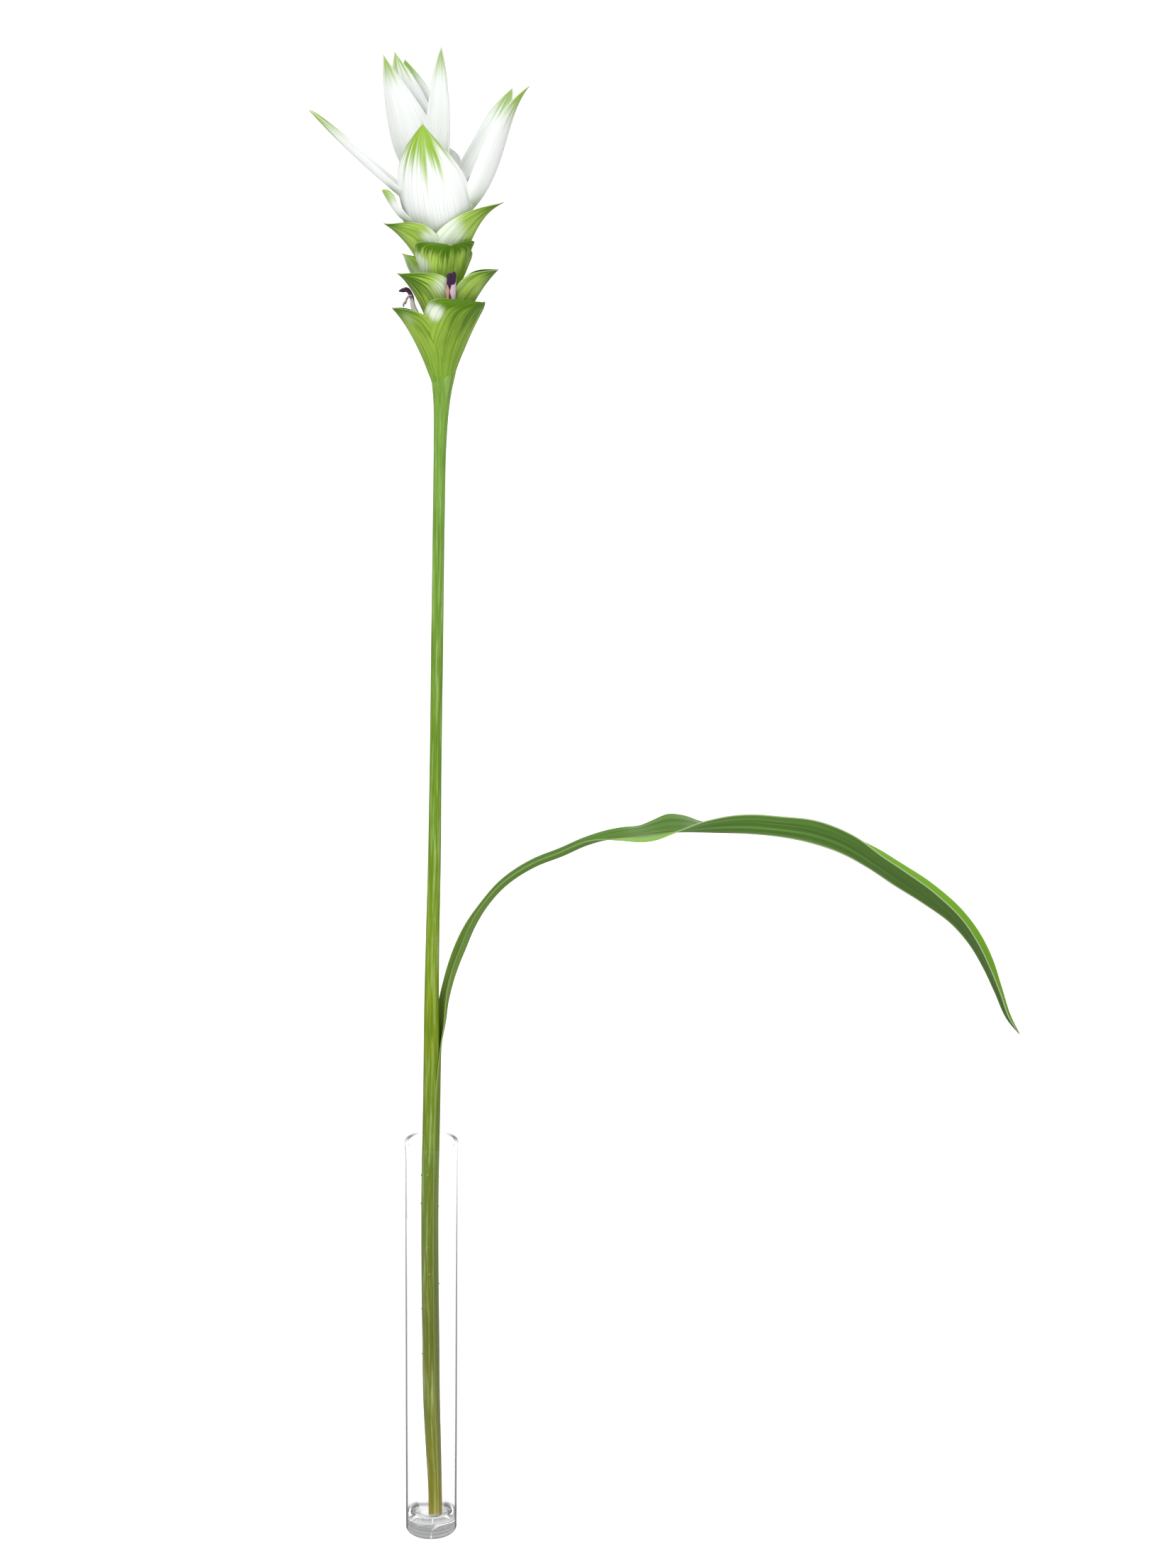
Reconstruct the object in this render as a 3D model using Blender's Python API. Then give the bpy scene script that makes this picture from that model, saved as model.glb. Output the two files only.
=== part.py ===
"""A cut curcuma flower and its one leaf, standing in a slim clear glass cylinder.

Lengths are written in millimetres and become metres when a mesh is made.
The viewer stands on the -Y side, and turns are counted from there towards +X.
"""

import math
from collections import namedtuple

import bmesh
import bpy
import numpy as np

MM = 0.001
GAP = 0.3
TINY = 1e-9
SHARP_EDGE = 50
LEAST_FOLD = 0.45

# Glass cylinder
VASE_SIDES = 48
VASE_HEIGHT = 206.0
VASE_RADIUS = 12.5
VASE_BORE_RADIUS = 10.6
VASE_FLARE = 0.4
VASE_FLARE_START = 197.0
VASE_FLOOR = 8.5
VASE_FOOT_ROUND = 2.8
VASE_BORE_ROUND = 5.0
ROUND_STEPS = 4

# Flower stalk: height, sideways place, depth, radius
STALK_SIDES = 12
STALK = [
    (8.9, 2.0, -2.4, 2.6),
    (22.0, 1.8, -2.0, 2.4),
    (45.0, 0.9, -1.0, 2.8),
    (68.0, 0.0, 0.0, 3.0),
    (100.0, -0.5, 1.4, 3.0),
    (136.0, -1.0, 2.9, 3.0),
    (191.0, -1.0, 5.3, 3.0),
    (206.0, -0.7, 5.8, 3.0),
    (235.0, -0.4, 7.0, 3.1),
    (265.0, -0.5, 8.0, 3.3),
    (302.0, -0.1, 9.3, 3.2),
    (343.0, 0.7, 10.8, 3.0),
    (384.0, 1.1, 12.2, 2.75),
    (444.0, 1.7, 14.1, 2.75),
    (503.0, 2.3, 16.1, 2.7),
    (540.0, 2.8, 17.2, 2.85),
    (556.0, 3.4, 17.7, 3.2),
    (566.0, 3.9, 18.0, 4.2),
    (571.0, 4.0, 18.1, 4.9),
]
STALK_ROWS = 28

# Axis of the flower head: height, sideways place, depth
HEAD_AXIS = [
    (560.0, 3.7, 17.8),
    (600.0, 2.9, 19.0),
    (640.0, 1.2, 20.3),
    (680.0, -0.8, 21.5),
    (720.0, -2.8, 22.5),
]

# Leaf sheath around the stalk: height, radius, wrap towards the front, wrap round the back
SHEATH_TURN = 118.0
SHEATH = [
    (9.1, 3.3, 93.0, 258.0),
    (22.0, 3.2, 93.0, 258.0),
    (45.0, 3.55, 93.0, 258.0),
    (68.0, 3.8, 93.0, 258.0),
    (100.0, 3.85, 93.0, 258.0),
    (136.0, 3.9, 93.0, 258.0),
    (175.0, 3.9, 93.0, 258.0),
    (206.0, 3.9, 93.0, 258.0),
    (225.0, 4.0, 93.0, 250.0),
    (240.0, 4.2, 72.0, 195.0),
    (252.0, 4.7, 48.0, 100.0),
]

# Free part of the leaf, along its keel: sideways place, depth, height, turn of the keel,
# then for the front half and the back half: width, lift at the keel, further bend
BLADE = [
    (6.0, 9.8, 263.0, 22.0, 3.8, 10.0, 40.0, 5.0, 0.0, 75.0),
    (7.4, 10.0, 273.0, 16.0, 3.8, 15.0, 45.0, 5.0, 20.0, 75.0),
    (9.3, 10.0, 281.3, 12.0, 3.8, 20.0, 50.0, 5.0, 30.0, 70.0),
    (12.0, 10.0, 290.2, 6.0, 3.8, 20.0, 60.0, 5.4, 35.0, 70.0),
    (15.2, 9.5, 298.7, 2.0, 3.8, 20.0, 60.0, 5.8, 35.0, 70.0),
    (19.4, 9.0, 309.6, 0.0, 3.8, 20.0, 60.0, 5.2, 30.0, 60.0),
    (24.6, 9.0, 319.2, 0.0, 3.7, 20.0, 60.0, 4.4, 20.0, 60.0),
    (34.0, 8.5, 330.8, 0.0, 3.7, 20.0, 60.0, 4.3, 20.0, 60.0),
    (47.5, 8.5, 340.3, 0.0, 3.8, 20.0, 60.0, 4.4, 20.0, 60.0),
    (60.7, 8.5, 346.0, 0.0, 4.0, 20.0, 60.0, 4.5, 20.0, 60.0),
    (72.0, 8.5, 351.4, 0.0, 4.6, 20.0, 40.0, 4.6, 20.0, 50.0),
    (80.0, 8.5, 353.9, 0.0, 5.6, 15.0, 10.0, 5.2, 20.0, 40.0),
    (87.0, 8.5, 355.0, 0.0, 7.0, 12.0, -10.0, 6.6, 25.0, 10.0),
    (96.0, 8.5, 356.3, 0.0, 9.6, 4.0, -12.0, 9.2, 18.0, -10.0),
    (103.0, 8.5, 357.3, 0.0, 11.0, 5.0, -10.0, 10.8, 24.0, -8.0),
    (109.5, 8.5, 358.0, 0.0, 12.0, 14.0, -8.0, 12.0, 33.0, -8.0),
    (116.0, 8.5, 358.4, 0.0, 12.5, 24.0, -4.0, 12.4, 27.0, -8.0),
    (125.0, 8.5, 358.5, 0.0, 13.0, 38.0, 0.0, 12.8, 10.0, -8.0),
    (133.0, 8.5, 358.4, 0.0, 13.4, 47.0, 2.0, 13.2, 8.0, -6.0),
    (145.5, 8.5, 358.2, 0.0, 13.6, 55.0, 4.0, 13.5, 14.0, -4.0),
    (160.0, 8.5, 357.0, 0.0, 13.8, 57.0, 4.0, 13.8, 18.0, -4.0),
    (175.0, 8.5, 354.2, 0.0, 14.0, 63.0, 4.0, 14.0, 24.0, -4.0),
    (190.0, 8.5, 349.2, 0.0, 13.8, 58.0, 4.0, 14.0, 27.0, -4.0),
    (203.0, 8.5, 342.4, 0.0, 13.6, 48.0, 4.0, 13.8, 32.0, -4.0),
    (215.0, 8.5, 334.6, 0.0, 13.0, 52.0, 4.0, 13.4, 35.0, -4.0),
    (229.0, 8.5, 326.0, 0.0, 11.8, 52.0, 4.0, 12.4, 37.0, -4.0),
    (244.0, 8.5, 315.0, 0.0, 9.8, 43.0, 4.0, 10.4, 34.0, -4.0),
    (252.5, 8.5, 305.2, 0.0, 8.6, 34.0, 4.0, 9.2, 38.0, -4.0),
    (259.0, 8.5, 294.4, 0.0, 7.2, 28.0, 4.0, 7.8, 42.0, -4.0),
    (265.0, 8.5, 281.8, 0.0, 5.2, 28.0, 4.0, 5.6, 42.0, 0.0),
    (271.5, 8.5, 268.4, 0.0, 2.8, 30.0, 0.0, 3.2, 42.0, 0.0),
    (278.0, 8.5, 260.6, 0.0, 0.0, 40.0, 0.0, 0.0, 42.0, 0.0),
]
# Rows of points: where each stretch starts along the keel, and how many rows it has
LEAF_STRETCHES = [(0.0, 9), (212.0, 9), (262.0, 27)]
LEAF_FRONT_COLUMNS = 4
LEAF_BACK_COLUMNS = 7
LEAF_THICKNESS = 0.62

# Bracts. Turn from the viewer, then reach and height of the four points that steer the
# midline, half the width, the share of it at the foot, where it is widest, the wrap near
# the foot and near the tip, how blunt the tip is and how far it leans sideways.
Bract = namedtuple("Bract", "turn foot knee belly tip half_width share widest hug flare blunt lean")
BRACT_THICKNESS = 0.7
BRACT_ROWS = 8
BRACT_COLUMNS = 6
PETAL_THICKNESS = 0.6
LEAN_CURVE = 1.4
TIP_POINT = 1.25
ROWS_TO_TIP = 1.4
MARGIN_WIDENED_FROM = 1.0

GREEN_BRACTS = [
    Bract(-88, (4.4, 571.8), (8.5, 575), (13.5, 584), (21.8, 597.5), 21, 0.35, 0.74, 98, 45, 2.6, 0),
    Bract(58, (4.4, 571.8), (6.5, 575), (16, 588), (22.2, 602.0), 25, 0.32, 0.76, 114, 50, 3.0, 0),
    Bract(178, (4.4, 573.0), (7, 577), (13, 591), (19.0, 601.5), 18, 0.35, 0.72, 85, 45, 2.6, 0),
    Bract(-62, (4.4, 588.0), (7, 594), (12, 609), (20.6, 613.8), 19, 0.35, 0.72, 95, 36, 2.6, 0),
    Bract(98, (4.4, 588.0), (10, 592), (14.5, 608), (26.3, 614.8), 22, 0.35, 0.70, 105, 32, 2.4, 0),
    Bract(-132, (4.4, 594.0), (7, 600), (9, 614), (20.5, 619.5), 13, 0.35, 0.66, 70, 40, 2.4, 0),
    Bract(20, (4.4, 601.0), (9, 606), (12, 618), (18.5, 626.5), 16.5, 0.35, 0.74, 84, 50, 3.0, 0),
    Bract(140, (4.4, 600.0), (9, 605), (13, 617), (18.0, 622.0), 13, 0.35, 0.70, 75, 45, 2.6, 0),
    Bract(-90, (4.4, 606.0), (7, 613), (12, 628), (24.0, 634.5), 23, 0.32, 0.68, 108, 30, 2.4, 0),
    Bract(74, (4.4, 608.0), (12, 616), (14.5, 638.5), (31.6, 645.3), 20, 0.35, 0.44, 92, 40, 1.6, 0),
    Bract(-170, (4.4, 608.0), (9, 614), (13, 630), (25.0, 636.0), 19, 0.35, 0.70, 85, 45, 2.6, 0),
]

WHITE_BRACTS = [
    Bract(-21, (2.0, 634.0), (14, 634), (21, 660), (10.0, 678.5), 24, 0.55, 0.42, 82, 44, 2.6, -0.3),
    Bract(-80, (2.0, 634.0), (12, 634), (17, 641), (23.0, 648.5), 7, 0.50, 0.60, 65, 60, 3.0, 0),
    Bract(-96, (2.0, 637.0), (12, 649), (30, 661), (55.0, 683.5), 9, 0.50, 0.45, 60, 70, 3.2, 0),
    Bract(72, (2.0, 636.0), (22, 642), (31, 668), (45.7, 696.0), 12, 0.50, 0.50, 55, 30, 2.2, 0),
    Bract(118, (2.0, 640.0), (14, 656), (26, 672), (39.5, 691.5), 9.5, 0.50, 0.55, 42, 25, 2.8, 0),
    Bract(-160, (2.0, 641.0), (10, 656), (14, 680), (14.0, 706.0), 13, 0.85, 0.45, 50, 25, 1.7, 17.2),
    Bract(-168, (2.0, 643.0), (13, 660), (17, 684), (18.0, 706.5), 10, 0.50, 0.50, 60, 25, 2.2, 13),
    Bract(-175, (2.0, 645.0), (15, 662), (20, 684), (22.0, 703.0), 11, 0.50, 0.50, 60, 25, 2.4, 10.5),
    Bract(150, (2.0, 646.0), (8, 664), (9, 688), (8.0, 710.5), 8, 0.50, 0.45, 80, 75, 2.8, -1),
    Bract(-150, (2.0, 642.0), (16, 652), (21, 668), (22.0, 682.0), 9, 0.50, 0.50, 60, 25, 2.2, 0),
    Bract(176, (2.0, 640.0), (14, 650), (24, 660), (32.0, 667.0), 11, 0.50, 0.50, 60, 25, 2.2, 0),
    Bract(150, (2.0, 636.0), (12, 637), (18, 648), (22.0, 657.0), 10, 0.50, 0.50, 60, 25, 2.2, 0),
    Bract(-132, (2.0, 636.0), (11, 637), (16, 646), (20.0, 655.0), 9, 0.50, 0.50, 60, 25, 2.2, 0),
]

# Core that carries the bracts: height, radius. It is turned off the line of the blades.
GREEN_CORE = [(571.3, 4.9), (580.0, 5.4), (600.0, 5.0), (620.0, 4.2), (632.0, 3.6)]
WHITE_CORE = [(632.3, 3.4), (640.0, 3.0), (650.0, 2.4), (658.0, 1.4)]
CORE_SIDES = 12
CORE_TURN = 0.1

# Small violet flowers: the turn from the viewer, reach, height and radius along the tube,
# and the petals in the terms of a bract
FLOWER_SIDES = 10
PETAL_ROWS = 7
PETAL_COLUMNS = 5
FRONT_FLOWER_TURN = 21
FRONT_FLOWER_TUBE = [
    (8.6, 589.5, 1.1),
    (10.8, 594.0, 1.3),
    (13.0, 599.0, 1.4),
    (14.4, 604.0, 1.4),
    (15.2, 609.0, 1.3),
    (15.8, 613.5, 0.9),
]
FRONT_FLOWER_PETALS = [
    Bract(21, (12.9, 598), (15.6, 603), (16.8, 609), (17.2, 615.8), 2.8, 0.6, 0.6, 85, 80, 5.0, 0),
    Bract(21, (12.9, 599), (14.0, 603), (14.6, 609), (15.6, 615.2), 2.4, 0.6, 0.6, -85, -70, 5.0, 0),
]
SIDE_FLOWER_TURN = -93
SIDE_FLOWER_TUBE = [
    (7.0, 586.0, 1.1),
    (9.6, 592.0, 1.3),
    (12.2, 597.5, 1.3),
    (13.0, 601.2, 1.2),
    (13.7, 603.6, 1.1),
    (15.0, 604.9, 1.0),
    (16.7, 605.0, 1.2),
    (18.4, 604.0, 0.5),
]
SIDE_FLOWER_PETALS = [
    Bract(-90, (12.0, 598), (13.2, 602), (15.0, 602), (16.2, 598.2), 1.9, 0.6, 0.6, 60, 60, 3.0, 0),
    Bract(-96, (12.4, 600), (13.2, 603.4), (15.2, 606), (17.4, 605.2), 1.6, 0.6, 0.6, 60, 60, 3.0, 0),
]


def clear_scene():
    """Removes whatever the scene starts with."""
    for item in list(bpy.data.objects):
        bpy.data.objects.remove(item, do_unlink=True)


def plain_material(name, colour, roughness, transmission=0.0):
    """One Principled material of a single colour."""
    material = bpy.data.materials.new(name)
    material.use_nodes = True
    shader = material.node_tree.nodes["Principled BSDF"]
    shader.inputs["Base Color"].default_value = (*colour, 1.0)
    shader.inputs["Roughness"].default_value = roughness
    shader.inputs["Transmission Weight"].default_value = transmission
    return material


def smooth_curve(stops, places):
    """Values on a smooth line through the stops, whose first column is the place along it."""
    stops = np.array(stops, float)
    knots = stops[:, 0]
    values = stops[:, 1:]
    slopes = np.gradient(values, knots, axis=0)
    places = np.clip(np.atleast_1d(places), knots[0], knots[-1])
    left = np.clip(np.searchsorted(knots, places, side="right") - 1, 0, len(knots) - 2)
    span = (knots[left + 1] - knots[left])[:, None]
    part = (places[:, None] - knots[left][:, None]) / span
    start = values[left] * (1 + 2 * part) * (1 - part) ** 2
    end = values[left + 1] * part**2 * (3 - 2 * part)
    leave = slopes[left] * span * part * (1 - part) ** 2
    arrive = slopes[left + 1] * span * part**2 * (part - 1)
    return start + end + leave + arrive


def new_object(name, points, faces, material):
    """Object with outward faces from points in millimetres."""
    mesh = bpy.data.meshes.new(name)
    mesh.from_pydata([tuple(point * MM) for point in points], [], faces)
    shape = bmesh.new()
    shape.from_mesh(mesh)
    bmesh.ops.recalc_face_normals(shape, faces=shape.faces)
    shape.to_mesh(mesh)
    shape.free()
    mesh.materials.append(material)
    item = bpy.data.objects.new(name, mesh)
    bpy.context.scene.collection.objects.link(item)
    return item


def round_shading(item):
    """Smooth shading that keeps the sharp edges."""
    for polygon in item.data.polygons:
        polygon.use_smooth = True
    item.data.set_sharp_from_angle(angle=math.radians(SHARP_EDGE))


def rings_solid(name, rings, material):
    """Closed solid through a row of rings, each end closed by a fan."""
    count = len(rings[0])
    points = [point for ring in rings for point in ring]
    points.append(np.mean(rings[0], axis=0))
    points.append(np.mean(rings[-1], axis=0))
    bottom = len(points) - 2
    top = len(points) - 1
    last = (len(rings) - 1) * count
    faces = []
    for side in range(count):
        following = (side + 1) % count
        for row in range(len(rings) - 1):
            low = row * count
            high = low + count
            faces.append((low + side, low + following, high + following, high + side))
        faces.append((side, following, bottom))
        faces.append((last + side, last + following, top))
    return new_object(name, points, faces, material)


def ring_about(centre, radius, sides, turn=0.0):
    """Level ring of points around a centre."""
    angles = np.linspace(0, 2 * np.pi, sides, endpoint=False) + turn
    offsets = np.stack([np.cos(angles), np.sin(angles), np.zeros(sides)], axis=1)
    return np.array(centre) + radius * offsets


def quarter_round(centre, radius, start, end):
    """Points of an arc in the plane of radius and height."""
    angles = np.radians(np.linspace(start, end, ROUND_STEPS))
    return [(centre[0] + radius * math.cos(a), centre[1] + radius * math.sin(a)) for a in angles]


def vase_profile():
    """Outline of the glass, from the middle of the foot round to the middle of the floor."""
    wall = VASE_RADIUS - VASE_BORE_RADIUS
    lip = wall / 2
    outline = [(0.0, 0.0)]
    foot_centre = (VASE_RADIUS - VASE_FOOT_ROUND, VASE_FOOT_ROUND)
    outline += quarter_round(foot_centre, VASE_FOOT_ROUND, -90, 0)
    outline.append((VASE_RADIUS, VASE_FLARE_START))
    lip_centre = (VASE_RADIUS - lip + VASE_FLARE, VASE_HEIGHT - lip)
    outline += quarter_round(lip_centre, lip, 0, 180)
    outline.append((VASE_BORE_RADIUS, VASE_FLARE_START))
    bore_centre = (VASE_BORE_RADIUS - VASE_BORE_ROUND, VASE_FLOOR + VASE_BORE_ROUND)
    outline += quarter_round(bore_centre, VASE_BORE_ROUND, 0, -90)
    outline.append((0.0, VASE_FLOOR))
    return outline


def make_vase(material):
    """Glass cylinder turned from its profile."""
    outline = vase_profile()
    rings = [ring_about((0, 0, height), radius, VASE_SIDES) for radius, height in outline[1:-1]]
    item = rings_solid("vase", rings, material)
    round_shading(item)
    return item


def make_stalk(material):
    """Flower stalk from its cut end to just under the head."""
    heights = np.linspace(STALK[0][0], STALK[-1][0], STALK_ROWS)
    rows = smooth_curve(STALK, heights)
    rings = [
        ring_about((x, y, height), radius, STALK_SIDES)
        for height, (x, y, radius) in zip(heights, rows)
    ]
    item = rings_solid("stalk", rings, material)
    round_shading(item)
    return item


def unit(vectors):
    """Vectors of length one."""
    return vectors / np.maximum(np.linalg.norm(vectors, axis=-1, keepdims=True), TINY)


def sheet_offsets(grid):
    """Direction across the sheet at each point, longer where the sheet is folded."""
    along = np.gradient(grid, axis=0)
    across = np.diff(grid, axis=1)
    sides = unit(np.cross(0.5 * (along[:, 1:] + along[:, :-1]), across))
    before = np.concatenate([sides[:, :1], sides], axis=1)
    after = np.concatenate([sides, sides[:, -1:]], axis=1)
    middle = unit(before + after)
    fold = np.sum(middle * before, axis=-1, keepdims=True)
    return middle / np.maximum(fold, LEAST_FOLD)


def sheet_solid(name, grid, thickness, material):
    """Closed blade of even thickness around a grid of points whose last row is one tip."""
    rows, columns = grid.shape[:2]
    offsets = sheet_offsets(grid) * thickness / 2
    tip_offset = unit(offsets[-2].mean(axis=0)) * thickness / 2
    body = grid[:-1]
    outer = [*(body + offsets[:-1]).reshape(-1, 3), grid[-1, 0] + tip_offset]
    inner = [*(body - offsets[:-1]).reshape(-1, 3), grid[-1, 0] - tip_offset]
    count = len(outer)
    tip = count - 1
    one_side = []
    for row in range(rows - 2):
        for column in range(columns - 1):
            low = row * columns + column
            high = low + columns
            if 2 * column < columns - 1:
                one_side += [(low, low + 1, high), (low + 1, high + 1, high)]
            else:
                one_side += [(low, low + 1, high + 1), (low, high + 1, high)]
    last = (rows - 2) * columns
    one_side += [(last + column, last + column + 1, tip) for column in range(columns - 1)]
    border = list(range(columns))
    border += [row * columns + columns - 1 for row in range(1, rows - 1)]
    border.append(tip)
    border += [row * columns for row in range(rows - 2, 0, -1)]
    faces = list(one_side)
    faces += [tuple(count + corner for corner in reversed(face)) for face in one_side]
    for first, second in zip(border, border[1:] + border[:1]):
        faces += [(second, first, count + first), (second, count + first, count + second)]
    return new_object(name, outer + inner, faces, material)


def sheath_stations():
    """Rows of the sheath in the same terms as the free part of the leaf."""
    rows = []
    turn = math.radians(SHEATH_TURN)
    for height, radius, front_wrap, back_wrap in SHEATH:
        x, y, _ = smooth_curve(STALK, height)[0]
        keel = (x + radius * math.sin(turn), y - radius * math.cos(turn), height)
        front = (radius * math.radians(front_wrap), 0.0, front_wrap)
        back = (radius * math.radians(back_wrap), 0.0, back_wrap)
        rows.append((*keel, SHEATH_TURN - 90, *front, *back))
    return rows


def leaf_places(length):
    """Distances along the keel at which the leaf has a row of points."""
    ends = [start for start, _ in LEAF_STRETCHES[1:]] + [length]
    places = [length]
    for (start, count), end in zip(LEAF_STRETCHES, ends):
        places.extend(np.linspace(start, end, count, endpoint=False))
    return np.sort(places)


def leaf_grid(front_columns, back_columns):
    """Points of the leaf, row by row from the foot of the sheath to the tip."""
    stations = np.array(sheath_stations() + BLADE)
    steps = np.linalg.norm(np.diff(stations[:, :3], axis=0), axis=1)
    travel = np.concatenate([[0], np.cumsum(steps)])
    places = leaf_places(travel[-1])
    rows = smooth_curve(np.column_stack([travel, stations]), places)
    keel = rows[:, :3]
    forward = unit(np.gradient(keel, places, axis=0))
    under = unit(np.column_stack([forward[:, 2], np.zeros(len(places)), -forward[:, 0]]))
    front_side = unit(np.cross(under, forward))
    turn = np.radians(rows[:, 3])[:, None]
    down = under * np.cos(turn) - front_side * np.sin(turn)
    near = front_side * np.cos(turn) + under * np.sin(turn)
    front = half_section(keel, near, down, rows[:, 4:7], front_columns)
    back = half_section(keel, -near, down, rows[:, 7:10], back_columns)
    return np.concatenate([back[:, ::-1], keel[:, None], front], axis=1)


def half_section(keel, side, down, shape, columns):
    """Points of one half of the leaf, from next to the keel out to the margin."""
    width = np.maximum(shape[:, 0], 0)[:, None]
    lift = np.radians(shape[:, 1])[:, None]
    bend = np.radians(shape[:, 2])[:, None]
    points = []
    place = keel.copy()
    for column in range(columns):
        angle = lift + bend * (column + 0.5) / columns
        place = place + width / columns * (side * np.cos(angle) - down * np.sin(angle))
        points.append(place)
    return np.stack(points, axis=1)


def make_leaf(material):
    """Sheath, stalk and blade of the leaf as one sheet."""
    grid = leaf_grid(LEAF_FRONT_COLUMNS, LEAF_BACK_COLUMNS)
    item = sheet_solid("leaf", grid, LEAF_THICKNESS, material)
    round_shading(item)
    return item


def bract_width(bract, along):
    """Half width of the bract at places from foot (0) to tip (1)."""
    rise = np.clip(along / bract.widest, 0, 1)
    fall = np.clip((along - bract.widest) / (1 - bract.widest), 0, 1)
    growing = bract.share + (1 - bract.share) * np.sin(rise * np.pi / 2)
    return bract.half_width * growing * (1 - fall**bract.blunt) ** TIP_POINT


def bract_grid(bract, row_count, column_count, extra=0.0):
    """Points of a bract, row by row from its foot to its tip. Extra widens its margins."""
    along = 1 - (1 - np.linspace(0, 1, row_count)) ** ROWS_TO_TIP
    part = along[:, None]
    steer = [np.array(point, float) for point in (bract.foot, bract.knee, bract.belly, bract.tip)]
    line = (
        steer[0] * (1 - part) ** 3
        + 3 * steer[1] * part * (1 - part) ** 2
        + 3 * steer[2] * part**2 * (1 - part)
        + steer[3] * part**3
    )
    slope = unit(np.gradient(line, axis=0))
    turn = math.radians(bract.turn)
    outward = np.array([math.sin(turn), -math.cos(turn), 0.0])
    sideways = np.array([math.cos(turn), math.sin(turn), 0.0])
    upward = np.array([0.0, 0.0, 1.0])
    axis = smooth_curve(HEAD_AXIS, line[:, 1])
    middle = np.column_stack([axis, np.zeros(row_count)]) + line[:, :1] * outward
    middle = middle + line[:, 1:] * upward + sideways * bract.lean * part**LEAN_CURVE
    face = slope[:, 1:] * outward - slope[:, :1] * upward
    half = bract_width(bract, along)[:, None, None]
    wrap = np.radians(bract.hug + (bract.flare - bract.hug) * along**3)[:, None, None]
    across = np.linspace(-1, 1, column_count + 1)[None, :, None]
    radius = half / wrap
    angle = across * wrap * (1 + extra / np.maximum(half, MARGIN_WIDENED_FROM))
    rounding = radius * np.sin(angle) * sideways
    sinking = radius * (1 - np.cos(angle)) * face[:, None]
    return middle[:, None] + rounding - sinking


def make_core(name, stops, extra, material):
    """Round core that the bracts grow from."""
    heights = [stop[0] for stop in stops]
    axis = smooth_curve(HEAD_AXIS, heights)
    rings = [
        ring_about((x, y, height), radius + extra, CORE_SIDES, CORE_TURN)
        for (height, radius), (x, y) in zip(stops, axis)
    ]
    return rings_solid(name, rings, material)


def tube_in_plane(name, turn_degrees, stops, sides, material):
    """Round tube whose middle line lies in the upright plane at one turn about the head."""
    turn = math.radians(turn_degrees)
    outward = np.array([math.sin(turn), -math.cos(turn), 0.0])
    sideways = np.array([math.cos(turn), math.sin(turn), 0.0])
    upward = np.array([0.0, 0.0, 1.0])
    stops = np.array(stops, float)
    slope = unit(np.gradient(stops[:, :2], axis=0))
    axis = smooth_curve(HEAD_AXIS, stops[:, 1])
    angles = np.linspace(0, 2 * np.pi, sides, endpoint=False)[:, None]
    rings = []
    for (reach, height, radius), (forward, rise), place in zip(stops, slope, axis):
        middle = np.array([*place, 0.0]) + reach * outward + height * upward
        across = rise * outward - forward * upward
        rings.append(middle + radius * (np.cos(angles) * sideways + np.sin(angles) * across))
    return rings_solid(name, rings, material)


def join_pieces(name, pieces, material):
    """One closed body from pieces that grow into each other."""
    collection = bpy.data.collections.new(name + "_pieces")
    bpy.context.scene.collection.children.link(collection)
    body = pieces[0]
    for piece in pieces[1:]:
        bpy.context.scene.collection.objects.unlink(piece)
        collection.objects.link(piece)
    modifier = body.modifiers.new("join", "BOOLEAN")
    modifier.operation = "UNION"
    modifier.operand_type = "COLLECTION"
    modifier.collection = collection
    modifier.solver = "EXACT"
    item = apply_to_new(name, body, material)
    keep_main_body(item)
    for piece in pieces:
        bpy.data.objects.remove(piece, do_unlink=True)
    bpy.data.collections.remove(collection)
    return item


def apply_to_new(name, body, material):
    """New object that holds the finished mesh of a body with a modifier."""
    bpy.context.view_layer.update()
    graph = bpy.context.evaluated_depsgraph_get()
    mesh = bpy.data.meshes.new_from_object(body.evaluated_get(graph))
    mesh.materials.clear()
    mesh.materials.append(material)
    item = bpy.data.objects.new(name, mesh)
    bpy.context.scene.collection.objects.link(item)
    return item


def islands_of(shape):
    """Lists of faces that hang together, one list for each loose part of the mesh."""
    waiting = set(shape.faces)
    islands = []
    while waiting:
        reached = [waiting.pop()]
        island = []
        while reached:
            face = reached.pop()
            island.append(face)
            for edge in face.edges:
                for beside in edge.link_faces:
                    if beside in waiting:
                        waiting.remove(beside)
                        reached.append(beside)
        islands.append(island)
    return islands


def keep_main_body(item):
    """Leaves the largest closed skin, so that no sealed pocket or crumb stays with it."""
    shape = bmesh.new()
    shape.from_mesh(item.data)
    islands = sorted(islands_of(shape), key=len)
    for island in islands[:-1]:
        bmesh.ops.delete(shape, geom=island, context="FACES")
    loose = [corner for corner in shape.verts if not corner.link_faces]
    bmesh.ops.delete(shape, geom=loose, context="VERTS")
    shape.to_mesh(item.data)
    shape.free()


def clear_of(name, body, cutter, material):
    """The body without what lies inside the cutter."""
    modifier = body.modifiers.new("clear", "BOOLEAN")
    modifier.operation = "DIFFERENCE"
    modifier.object = cutter
    modifier.solver = "EXACT"
    item = apply_to_new(name, body, material)
    keep_main_body(item)
    bpy.data.objects.remove(body, do_unlink=True)
    return item


def bract_pieces(prefix, bracts, extra, material):
    """One blade for each bract in the list."""
    return [
        sheet_solid(
            f"{prefix}_{number}",
            bract_grid(bract, BRACT_ROWS, BRACT_COLUMNS, extra),
            BRACT_THICKNESS + 2 * extra,
            material,
        )
        for number, bract in enumerate(bracts)
    ]


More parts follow.
